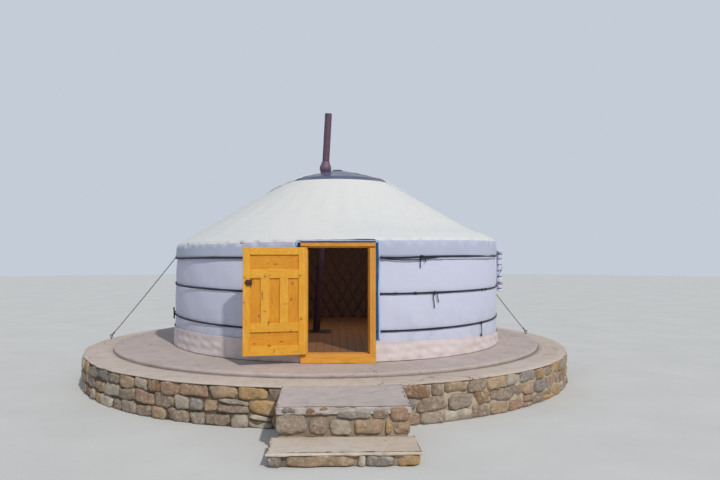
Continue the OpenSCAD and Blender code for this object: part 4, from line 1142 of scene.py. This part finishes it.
def straps():
    parts = Parts()
    n = 700
    for k in range(3):
        half = DOOR_A + (0.018 if k == 0 else -0.004)
        a = np.linspace(FRONT + half, ROUND - half, n)
        h = strap_h(k, a) + 0.005 * noise2(a * 14 / TAU, a * 0, 71 + k, 14)
        lift = np.full(n, 0.0175 if k == 0 else 0.0045)
        # over the binding beside the door
        edge = np.minimum(a - FRONT, ROUND - a) - half
        lift += (0.020 if k == 0 else 0.010) * np.clip(1 - edge / 0.035, 0, 1)
        slack = np.exp(-((a + 1.25) / 0.11) ** 2) if k == 0 else 0 * a
        r = wall_r(h) + lift
        p = np.stack([r * np.cos(a), r * np.sin(a), SLAB + h - 0.008 * slack], 1)
        width = 0.028 + 0.003 * noise2(a * 60 / TAU, a * 0, 75 + k, 60)
        parts.take(*sweep(p, width, 0.0085, UP, 10))
        if k == 0:
            # its second turn hangs slack beside the door
            sel = (a > -1.42) & (a < -1.02)
            q = p[sel] * np.array([1.003, 1.003, 1])
            q[:, 2] -= 0.034 * np.sin(np.linspace(0, math.pi, len(q))) + 0.004
            parts.take(*sweep(q, 0.016, 0.007, UP, 10))
    for k, deg, size in ((0, -65, 0.050), (1, -60.5, 0.050), (1, -37, 0.036), (1, -34.5, 0.036),
                         (2, -38, 0.046), (2, 196, 0.060)):
        a = math.radians(deg)
        knot(parts, on_wall(a, float(strap_h(k, a)), (0.024 if k == 0 else 0.011) + 0.004),
             (math.cos(a), math.sin(a), 0), size, 0.012)
    # a short tied loop at the left
    a = math.radians(196)
    out, side = out_and_side(a)
    at = on_wall(a, float(strap_h(2, a)), 0.018)
    route = ((0, 0, -0.02), (0.016, 0.006, 0.03), (0.014, 0.008, 0.075), (0, 0.010, 0.095),
             (-0.015, 0.008, 0.07), (-0.012, 0.006, 0.02), (-0.006, 0.004, -0.03), (-0.010, 0.004, -0.085))
    loop = [at + side * x + out * y + np.array([0, 0, z]) for x, y, z in route]
    parts.take(*tube_path(loop, 0.021, 10))
    parts.build("wall_ropes", "rope", slot="strap", replaces=("wall_straps",))


straps()

# The straps' loose ends, with their routes from the CAD source.
# Each is (turn, strap, lift, length, route in millimetres).
TAILS = {
    "tail_upper_long": (-65.5, 0, 0.0096, 0.169, [(0, 0, 8), (-2, 3, -25), (3, 4, -65), (2, 1, -110),
                                                  (8, -2, -160)]),
    "tail_upper_short": (-64.5, 0, 0.0096, 0.095, [(6, 0, 6), (22, 4, -18), (36, 3, -48), (42, 0, -80)]),
    "tail_middle_long": (-61, 1, 0, 0.230, [(-8, 0, 8), (-6, 4, -40), (2, 5, -95), (12, 2, -155),
                                            (20, -2, -220)]),
    "tail_middle_short": (-60, 1, 0, 0.150, [(10, 0, 6), (18, 4, -35), (30, 4, -85), (44, 0, -140)]),
    "tail_lower": (-38, 2, 0, 0.200, [(0, 0, 8), (-4, 4, -45), (-2, 7, -95), (-14, 9, -150), (-20, 8, -190)]),
}


# the tails' thickness
TAIL_D = 0.011


def strap_ends():
    for name, (deg, k, lift, length, route) in TAILS.items():
        a = math.radians(deg)
        out, side = out_and_side(a)
        at = on_wall(a, float(strap_h(k, a)), lift + 0.0138)
        pts = [at + (side * x + out * (y + 2) + np.array([0, 0, z])) / 1000 for x, y, z in route]
        path = smooth_path(pts)
        v, f, uv = sweep(path, TAIL_D, TAIL_D, ASKEW, 10)
        ob = add(name, v, f, "rope", uv=uv, slot="strap", replaces=("strap_tails",))
        ends = []
        if k == 2:
            knots = Parts()
            knot(knots, path[-1] + (0, 0, 0.004), out, 0.034, 0.011)
            ends = [knots.build("tail_lower_knot", "rope", slot="strap")]


strap_ends()


# Binding and hood round the door
def door_trim():
    """Blue binding and pale piping beside the frame, a blue hem over it, and the hood over its head."""
    navy, pale = Parts(), Parts()
    for s in (-1, 1):
        h = np.linspace(SKIRT_H + 0.055, EAVE_H + 0.020, 70)
        for parts, off, width, thick, seed in ((navy, 0.0195, 0.036, 0.011, 81),
                                               (pale, 0.0510, 0.025, 0.016, 83)):
            x = s * (HALF_DOOR + off + 0.0035 * noise2(h * 5 + 7 * s, 0 * h, 81) * (off > 0.02)
                     + 0.006 * np.sin((h - 0.95) * 4.2) ** 2 * (off > 0.02))
            r = wall_r(np.minimum(h, EAVE_H)) + 0.011 + 0.002 * noise2(h * 9, 0 * h + s, seed)
            r = r + 0.013 * np.clip((h - EAVE_H + BAND_H + 0.02) / 0.03, 0, 1)
            p = np.stack([x, -np.sqrt(r * r - x * x), SLAB + h], 1)
            parts.take(*sweep(p, width * (1 + 0.10 * noise2(h * 12, 0 * h, seed + 1)), thick,
                              ACROSS, 10))
    # the hem over the head lies on the hood's front edge and turns back to the wall at both ends
    x = np.linspace(-HALF_DOOR - 0.034, HALF_DOOR + 0.034, 120)
    turn = np.clip((np.abs(x) - HALF_DOOR + 0.012) / 0.030, 0, 1)
    turn = turn * turn * (3 - 2 * turn)
    y = -(FRAME_Y + 0.001) * (1 - turn) - np.sqrt(2.806 ** 2 - x * x) * turn
    z = (FRAME_TOP + 0.013 + turn * (SLAB + EAVE_H + 0.012 - FRAME_TOP - 0.013)
         + 0.002 * noise2(x * 7, 0 * x, 85))
    navy.take(*sweep(np.stack([x, y, z], 1), 0.021, 0.010, UP, 10))
    trims = [navy.build("door_binding_tape", "blue", slot="blue_binding", replaces=("door_binding",)),
             pale.build("door_piping", "pale", slot="blue_binding")]
    x, t = np.meshgrid(np.linspace(-HALF_DOOR - 0.030, HALF_DOOR + 0.030, 90), np.linspace(0, 1, 10))
    back = -np.sqrt(2.786 ** 2 - x * x)
    y = back + t * (-FRAME_Y + 0.002 - back)
    z = SLAB + EAVE_H + 0.026 + t * (FRAME_TOP + 0.004 - SLAB - EAVE_H - 0.026)
    z = (z + np.sin(t * math.pi) * (0.004 + 0.004 * noise2(x * 14, t * 2, 87))
         + 0.0015 * noise2(x * 40, t, 88) ** 2)
    # the hood wears the valance canvas, painted darker as shade under the eave
    ob = add("door_hood", np.stack([x, y, z], -1).reshape(-1, 3), grid_faces(10, 90), "band", slot="canvas",
             uv=np.stack([x.ravel(), t.ravel() * 0.08], 1))
    solidify(ob, 0.0025, 1.0)


# Flap over the crown
def crown_flap():
    """The canvas flap drawn half over the crown, with its front edge round the pipe and over the glazing."""
    at = [-1.28, -1.10, -0.90, -0.74, -0.62, -0.52, -0.42, -0.36, -0.34, -0.11, 0.06, 0.30, 0.40, 0.68, 0.96,
          1.20, 1.28]
    edge = [-0.04, -0.34, -0.50, -0.60, -0.63, -0.44, -0.28, -0.10, 0.17, 0.17, 0.08, -0.10, -0.24, -0.38,
            -0.46, -0.32, -0.09]
    far = [0.04, 0.79, 1.28, 0.79, -0.09]
    u = np.linspace(-1.265, 1.265, 170)
    x, t = np.meshgrid(u, np.linspace(0, 1, 60) ** 1.3)
    front = np.interp(u, at, edge) + 0.010 * noise2(u * 7, 0 * u, 95)
    back = np.minimum(np.interp(u, [-1.28, -0.96, 0, 0.96, 1.28], far), np.sqrt(1.28 ** 2 - u * u))
    y = front + t * (back - front)
    r = np.hypot(x, y)
    under = lambda q: CROWN_SEAT + (CROWN_R - q) * GLASS_TAN + 0.0056
    z = np.interp(r, [HUB_R, CROWN_R + 0.005, CROWN_R + GLASS_SKIRT + 0.005, 1.28],
                  [under(HUB_R), under(CROWN_R), SLAB + roof_top(0.95) + 0.0056,
                   SLAB + roof_top(1.28) + 0.002])
    near = np.abs(y - front)
    z = (z + 0.0045 + 0.003 * noise2(x * 6, y * 6, 96) + 0.003 * np.sin(np.arctan2(y, x) * 36)
         * np.clip(r - 0.3, 0, 1))
    z = z + 0.002 * np.exp(-(near / 0.035) ** 2) * (1 + 0.6 * noise2(x * 11, 0 * x, 97))
    ob = add("crown_flap_cloth", np.stack([x, y, z], -1).reshape(-1, 3), grid_faces(60, 170), "roof",
             uv=np.stack([x.ravel(), y.ravel()], 1), slot="roof_canvas", replaces=("crown_flap",))
    solidify(ob, 0.003, 1.0)
    # its hem is sewn round a thick cord
    hem = Parts()
    path = np.stack([x[0], y[0], z[0] + 0.003], 1)
    hem.take(*sweep(path, 0.024 * (1 + 0.12 * noise2(u * 9, 0 * u, 98)), 0.020, UP, 10))
    ends = [hem.build("crown_flap_hem", "roof", slot="roof_canvas")]


# Rolled cover and guy ropes
def ring_into(parts, centre, ax, ay, d, n=40):
    """A closed loop of cord whose half axes are the vectors ax and ay."""
    t = np.linspace(0, TAU, n)
    p = np.array(centre) + np.outer(np.cos(t), ax) + np.outer(np.sin(t), ay)
    parts.take(*sweep(p, d, d, np.tile(np.cross(ax, ay), (n, 1)), 8))


def rolled_cover():
    """A spare length of canvas, rolled up, laced, and tied upright to the straps at the right."""
    turn, rad, length, rows, cols = math.radians(-12), 0.0475, 0.700, 96, 48
    reach, foot = 2.8531, SLAB + 0.850
    mid = np.array([reach * math.cos(turn), reach * math.sin(turn), foot])
    th = np.linspace(0, TAU, cols, endpoint=False)
    tt, zz = np.meshgrid(th, np.linspace(0, length, rows))
    wrap = ((tt - 3.4 - 0.25 * np.sin(zz * 9)) % TAU) / TAU
    r = (rad * (0.84 + 0.15 * wrap) + 0.004 * noise2(tt * 9 / TAU, zz * 14, 91, 9)
         + 0.002 * noise2(tt * 22 / TAU, zz * 40, 92, 22))
    ties = np.arange(0.045, 0.70, 0.1016)
    for at in ties:
        r = r - 0.007 * np.exp(-((zz - at) / 0.013) ** 2)
    v = [polar(tt, r, foot + zz)]
    order = []
    for k, z0 in ((0, 0.0), (rows - 1, length)):
        caps = []
        for q in (0.86, 0.70, 0.52, 0.34, 0.16):
            dz = (0.006 * np.sin(q * 40 + th)) * (1 if z0 else -1)
            caps.append(polar(th[None], (r[k] * q)[None], foot + z0 - (0.006 if z0 else -0.006) * (1 - q)
                              + dz[None]))
        order.append(caps)
    v = np.concatenate(order[0][::-1] + v + order[1]) + (mid[0], mid[1], 0)
    f = [list(q) for q in grid_faces(rows + 10, cols, True)]
    f += [list(range(cols))[::-1], [(rows + 9) * cols + i for i in range(cols)]]
    uv = np.concatenate([np.tile(np.stack([th * rad, 0 * th], 1), (5, 1)),
                         np.stack([tt.ravel() * rad, zz.ravel()], 1),
                         np.tile(np.stack([th * rad, 0 * th], 1), (5, 1))])
    # the rolled canvas wears the wall's canvas, whose darker, bluer colour is painted sky shade
    ob = add("rolled_canvas", v, f, "wall", uv=uv, slot="canvas", replaces=("rolled_cover",))
    laces = Parts()
    for at in ties:
        ring_into(laces, mid + (0, 0, at), (rad * 0.86, 0, 0.004), (0, rad * 0.86, 0), 0.008)
    z = np.linspace(0.045, 0.655, 160)
    a = 0.4 + z * TAU * 2.2
    q = rad * 0.93 + 0.002
    laces.take(*sweep(np.stack([mid[0] + q * np.cos(a), mid[1] + q * np.sin(a), mid[2] + z], 1), 0.006, 0.006,
                      UP, 6))
    out, side = out_and_side(turn)
    for k in (0, 1):
        h = float(strap_h(k, turn))
        if h < 0.850 or h > 1.550:
            h = 0.985
        ring_into(laces, (*(mid - 0.012 * out)[:2], SLAB + h + 0.03), 0.068 * out, 0.052 * side, 0.009)
    laces.build("roll_lacing", "rope", slot="strap")


def twisted(parts, path, d, pitch=0.052):
    """A rope of three strands laid round each other along the path."""
    t = np.gradient(path, axis=0)
    t /= np.linalg.norm(t, axis=1)[:, None]
    u = np.cross(t, [0.3, 0.9, 0.1])
    u /= np.linalg.norm(u, axis=1)[:, None]
    w = np.cross(t, u)
    run = np.r_[0, np.cumsum(np.linalg.norm(np.diff(path, axis=0), axis=1))]
    for k in range(3):
        phi = (TAU * (run / pitch + k / 3))[:, None]
        q = path + (u * np.cos(phi) + w * np.sin(phi)) * d * 0.26
        parts.take(*sweep(q, d * 0.5, d * 0.5, u, 6))


def guy_ropes():
    ropes = Parts()
    for side, y, inside, turn, k in ((-1, 0.300, 0.110, 188, 0), (1, 0.650, 0.250, 6, 1)):
        a, r = math.radians(turn), PLINTH_R - inside
        eye = np.array([PLINTH_X + side * math.sqrt(r * r - y * y), y, RIM_Z + 0.052])
        top = on_wall(a, float(strap_h(k, a)), 0.014) if k else on_wall(a, EAVE_H - BAND_H + 0.018, 0.026)
        v = top - eye
        v /= np.linalg.norm(v)
        low = eye + v * 0.036
        n = int(np.linalg.norm(top - low) / 0.0045)
        t = np.linspace(0, 1, n)[:, None]
        line = low + (top - low) * t - np.array([0, 0, 0.012]) * np.sin(t * math.pi)
        twisted(ropes, line, 0.015)
        flat = np.array([v[1], -v[0], 0]) / math.hypot(v[0], v[1])
        ring_into(ropes, eye + v * 0.026, v * 0.0135, flat * 0.0135, 0.009)
        up = np.cross(flat, v)
        for i in range(6):
            ring_into(ropes, low + v * (0.022 + 0.0085 * i), flat * 0.0105, up * 0.0105, 0.008, 24)
        out, tang = out_and_side(a)
        hold = top - out * 0.004
        for i in (-1, 0, 1):
            ring_into(ropes, hold + tang * 0.011 * i, out * 0.012 + tang * 0.003, np.array([0, 0, 0.026]),
                      0.010, 30)
    ropes.build("guy_ropes_laid", "guy", slot="rope", replaces=("guy_ropes",))


crown_flap()
rolled_cover()
guy_ropes()


# Door leaf, frame and sill
LEAF_M = (Matrix.Translation((HINGE[0], HINGE[1], LEAF_Z)) @ Matrix.Rotation(math.radians(-OPEN_DEG), 4, "Z")
          @ Matrix.Translation((-LEAF_W / 2 - HINGE[0], -FRAME_Y - HINGE[1], 0)))
STILE_FREE, STILE_HINGE, MULLION = 0.095, 0.112, 0.115
Z_LOW = 0.130
Z_R1, Z_MID, Z_R2, Z_TOP, Z_HEAD = 0.315, 0.432, 1.032, 1.149, 1.346
P0, P1 = STILE_HINGE, LEAF_W - STILE_FREE
MID_W = (P1 - P0 - 2 * MULLION) / 3


def door_leaf():
    bm = bmesh.new()
    t = LEAF_T
    box_into(bm, (0, 0, 0), (P0 - 0.0004, t, LEAF_H), 0.003, 2, LEAF_M, 0)
    box_into(bm, (P1 + 0.0004, 0, 0), (LEAF_W, t, LEAF_H), 0.003, 2, LEAF_M, 0)
    for z0, z1 in ((0, Z_LOW), (Z_R1, Z_MID), (Z_R2, Z_TOP), (Z_HEAD, LEAF_H)):
        box_into(bm, (P0, 0.0006, z0), (P1, t - 0.0006, z1), 0.003, 2, LEAF_M, 1)
    for k in (1, 2):
        x = P0 + k * MID_W + (k - 1) * MULLION
        box_into(bm, (x, 0.001, Z_MID + 0.0004), (x + MULLION, t - 0.001, Z_R2 - 0.0004), 0.003, 2, LEAF_M, 0)
    from_bm("leaf_frame_boards", bm, ["pine_z", "pine_x"], body="door_leaf", slot="door_pine",
            replaces=("door_leaf_frame",), smooth=False)
    bm = bmesh.new()
    # thin boards let into the frame's grooves, nearer the outer face
    y0, y1, g = 0.007, 0.019, -0.004
    box_into(bm, (P0 + g, y0, Z_LOW + g), (P1 - g, y1, Z_R1 - g), 0.002, 2, LEAF_M, 1)
    box_into(bm, (P0 + g, y0, Z_TOP + g), (P1 - g, y1, Z_HEAD - g), 0.002, 2, LEAF_M, 1)
    for k in range(3):
        x = P0 + k * (MID_W + MULLION)
        box_into(bm, (x + g, y0, Z_MID + g), (x + MID_W - g, y1, Z_R2 - g), 0.002, 2, LEAF_M, 0)
    from_bm("leaf_panel_boards", bm, ["panel_z", "panel_x"], body="door_leaf", slot="door_pine",
            replaces=("door_leaf_panels",), smooth=False)


door_leaf()


def prism(bm, outline, x0, x1, mat=0, bevel=0.003, axis="x"):
    """A bar along X (or Z) whose cross-section is the outline, with its edges eased."""
    def at(a, b, s):
        return (s, a, b) if axis == "x" else (a, b, s)
    lo = [bm.verts.new(at(a, b, x0)) for a, b in outline]
    hi = [bm.verts.new(at(a, b, x1)) for a, b in outline]
    n = len(outline)
    faces = [bm.faces.new(lo[::-1]), bm.faces.new(hi)]
    for i in range(n):
        faces.append(bm.faces.new((lo[i], lo[(i + 1) % n], hi[(i + 1) % n], hi[i])))
    bmesh.ops.recalc_face_normals(bm, faces=faces)
    edges = list({e for f in faces for e in f.edges})
    out = bmesh.ops.bevel(bm, geom=edges, offset=bevel, segments=2, affect="EDGES", profile=0.5)
    for f in {f for v in out["verts"] for f in v.link_faces} | {f for f in faces if f.is_valid}:
        f.material_index = mat


def door_frame():
    bm = bmesh.new()
    y0, y1 = -FRAME_Y, -FRAME_Y + FRAME_D
    z0, z1 = SLAB + SILL_H, FRAME_TOP
    c, c2 = CLEAR_W / 2, CLEAR_W / 2 + REBATE
    stop = y0 + LEAF_T + 0.006
    for s in (-1, 1):
        pts = [(s * HALF_DOOR, y0), (s * c2, y0), (s * c2, stop), (s * c, stop), (s * c, y1),
               (s * HALF_DOOR, y1)]
        prism(bm, pts, z0 + 0.0005, z1 - HEAD_H - 0.0005, 0, 0.003, "z")
    zt = z1 - HEAD_H
    pts = [(y0, z1), (y0, zt + REBATE), (stop, zt + REBATE), (stop, zt), (y1, zt), (y1, z1)]
    prism(bm, pts, -HALF_DOOR, HALF_DOOR, 1)
    from_bm("frame_boards", bm, ["frame_z", "frame_x"], slot="frame_wood", replaces=("door_frame",),
            smooth=False)
    bm = bmesh.new()
    pts = [(y1, SLAB + 0.0005), (y1, z0), (y0, z0), (y0 - 0.025, SLAB + 0.0005)]
    prism(bm, pts, -HALF_DOOR, HALF_DOOR, 0, 0.004)
    from_bm("sill_board", bm, ["frame_x"], slot="frame_wood", replaces=("door_sill",), smooth=False)


door_frame()
door_trim()


# Lock and handle
def lathe_into(bm, start, axis, profile, segs=24, m=None):
    """A turned solid: profile is (distance along the axis, radius) from the start."""
    start, axis = Vector(start), Vector(axis).normalized()
    u = axis.orthogonal().normalized()
    w = axis.cross(u)
    rings = []
    for d, r in profile:
        ring = [start + axis * d + (u * math.cos(k * TAU / segs) + w * math.sin(k * TAU / segs)) * r
                for k in range(segs)]
        rings.append([bm.verts.new(m @ c if m else c) for c in ring])
    faces = [bm.faces.new((a[k], a[(k + 1) % segs], b[(k + 1) % segs], b[k]))
             for a, b in zip(rings, rings[1:]) for k in range(segs)]
    faces += [bm.faces.new(rings[0][::-1]), bm.faces.new(rings[-1])]
    for f in faces:
        f.smooth = True


def ironmongery():
    """The rim lock on the leaf's inner face and the pull on its outer face."""
    z, x1, y0 = 0.940, LEAF_W - REBATE - 0.020, LEAF_T + 0.0003
    x0 = x1 - 0.078
    bm = bmesh.new()
    box_into(bm, (x0, y0, z), (x1, y0 + 0.026, z + 0.075), 0.004, 3, LEAF_M)
    box_into(bm, (x0 + 0.007, y0 + 0.0262, z + 0.006), (x1 - 0.007, y0 + 0.030, z + 0.069), 0.0015, 2, LEAF_M)
    box_into(bm, (x1 + 0.0003, y0, z + 0.020), (x1 + 0.014, y0 + 0.016, z + 0.055), 0.002, 2, LEAF_M)
    screw = [(0, 0.0042), (0.0012, 0.0040), (0.0022, 0.0028), (0.0024, 0.0004)]
    for cx, cz in ((x0 + 0.013, z + 0.012), (x1 - 0.013, z + 0.012), (x0 + 0.013, z + 0.063),
                   (x1 - 0.013, z + 0.063)):
        lathe_into(bm, (cx, y0 + 0.0302, cz), (0, 1, 0), screw, 12, LEAF_M)
    lathe_into(bm, (x0 + 0.022, y0 + 0.0302, z + 0.0375), (0, 1, 0),
               [(0, 0.012), (0.002, 0.012), (0.003, 0.008), (0.007, 0.0068), (0.009, 0.0085), (0.013, 0.0098),
                (0.016, 0.0090), (0.0178, 0.0060), (0.018, 0.0005)], 28, LEAF_M)
    from_bm("rim_lock", bm, ["lock"], body="door_leaf", slot="lock", replaces=("door_lock",), smooth=False)
    bm = bmesh.new()
    hx = LEAF_W - 0.042
    grip = [(0, 0.0005), (0.001, 0.004), (0.004, 0.0062), (0.010, 0.0070), (0.030, 0.0064), (0.090, 0.0070),
                (0.150, 0.0064), (0.170, 0.0070), (0.176, 0.0062), (0.179, 0.004), (0.180, 0.0005)]
    lathe_into(bm, (hx, -0.030, z - 0.060), (0, 0, 1), grip, 24, LEAF_M)
    rose = [(0, 0.013), (0.002, 0.013), (0.004, 0.0085), (0.010, 0.0060), (0.024, 0.0060)]
    for dz in (-0.040, 0.100):
        lathe_into(bm, (hx, -0.0003, z + dz), (0, -1, 0), rose, 24, LEAF_M)
    from_bm("door_pull", bm, ["steel"], body="door_leaf", slot="iron", replaces=("door_handle",),
            smooth=False)


ironmongery()


# Floor boards
def floor_boards():
    bm = bmesh.new()
    w, r = 0.118, 2.683
    z0, z1 = SLAB + 0.070, SLAB + 0.098
    n = int(2 * r / w)
    rng = random.Random(4)
    for k in range(n + 1):
        x0 = -r + k * w + 0.001
        x1 = min(x0 + w - 0.002, r)
        if x1 - x0 < 0.02:
            continue
        reach = math.sqrt(max(r * r - max(abs(x0), abs(x1)) ** 2, 0.01))
        cuts = sorted([-reach, reach] + [rng.uniform(-reach, reach) * 0.6])
        if abs(x0) < HALF_DOOR - 0.02 and abs(x1) < HALF_DOOR - 0.02:
            cuts[0] = -2.656
        for a, b in zip(cuts, cuts[1:]):
            if b - a > 0.05:
                box_into(bm, (x0, a + 0.0008, z0), (x1, b - 0.0008, z1 - rng.uniform(0, 0.0015)), 0.002, 1)
    from_bm("floor_planks", bm, ["floor"], slot="floor_wood", replaces=("board_floor",), smooth=False)


floor_boards()


# CAD nodes that keep their shape
def dress(node, mat):
    for s in NODES[node].material_slots:
        s.material = M[mat]


for node, mat in {
    "plinth_fill": "fill", "floor_bearers": "floor", "hinge_plates": "hinge", "door_hinges": "hinge",
    "roof_poles_left": "pole", "roof_poles_right": "pole", "crown_rim": "crown", "crown_spokes": "crown",
    "crown_glazing": "glass", "chimney_pipe": "pipe", "chimney_collar": "collar", "hearth_plate": "plate",
    "guy_anchors": "iron", **{f"khana_{i}": "lattice" for i in range(1, 6)},
}.items():
    dress(node, mat)


# Floor, light and camera
def stage():
    m = Mat("studio_floor", Roughness=0.9)
    v = m.where()
    m.colour(m.mix(m.span(m.noise(v, 0.8, 4), 0.3, 0.7), (214, 214, 212), (206, 206, 204)))
    m.bump((m.noise(v, 30, 4), 0.002, 0.15))
    M["studio"] = m.mat
    bm = bmesh.new()
    bmesh.ops.create_circle(bm, cap_ends=True, segments=96, radius=60)
    me = bpy.data.meshes.new("studio_floor")
    bm.to_mesh(me)
    bm.free()
    me.materials.append(m.mat)
    ob = link_object("studio_floor", me)
    ob.location.z = -0.002


stage()


def sun():
    light = bpy.data.lights.new("sun", "SUN")
    light.energy, light.angle, light.color = 2.28, math.radians(2), (1.0, 0.955, 0.90)
    link_object("sun", light).rotation_euler = Vector((-0.47, 0.93, -1.0)).to_track_quat("-Z", "Y").to_euler()


def crown_light():
    """Daylight that falls through the crown."""
    light = bpy.data.lights.new("crown_light", "AREA")
    light.shape, light.size, light.energy, light.color = "DISK", 1.5, 34, (1.0, 0.90, 0.86)
    link_object("crown_light", light).location = (0, 0, CROWN_SEAT - 0.10)


def world():
    """Blue light from the sky, which the camera, gloss and glass see as a plain grey."""
    sky = bpy.data.worlds.new("studio")
    bpy.context.scene.world = sky
    sky.use_nodes = True
    nodes, link = sky.node_tree.nodes, sky.node_tree.links.new
    light, plain = nodes["Background"], nodes.new("ShaderNodeBackground")
    for bg, colour, power in ((light, (0.76, 0.87, 1.0, 1), 0.41), (plain, rgb((196, 204, 216)), 1.0)):
        bg.inputs[0].default_value, bg.inputs[1].default_value = colour, power
    rays = nodes.new("ShaderNodeLightPath")
    seen = rays.outputs["Is Camera Ray"]
    for kind in ("Is Glossy Ray", "Is Transmission Ray"):
        either = nodes.new("ShaderNodeMath")
        either.operation = "MAXIMUM"
        link(seen, either.inputs[0])
        link(rays.outputs[kind], either.inputs[1])
        seen = either.outputs[0]
    mixer = nodes.new("ShaderNodeMixShader")
    for k, source in enumerate((seen, light.outputs[0], plain.outputs[0])):
        link(source, mixer.inputs[k])
    link(mixer.outputs[0], nodes["World Output"].inputs[0])


def camera():
    data = bpy.data.cameras.new("camera")
    data.lens, data.sensor_width, data.clip_end = 32.4, 36.0, 300
    ob = link_object("camera", data)
    ob.location = (-0.047, -11.69, 2.040)
    ob.rotation_euler = (math.radians(91.331), 0, math.radians(-2.233))
    bpy.context.scene.camera = ob
    bpy.context.scene.view_settings.view_transform = "Standard"


sun()
crown_light()
world()
camera()
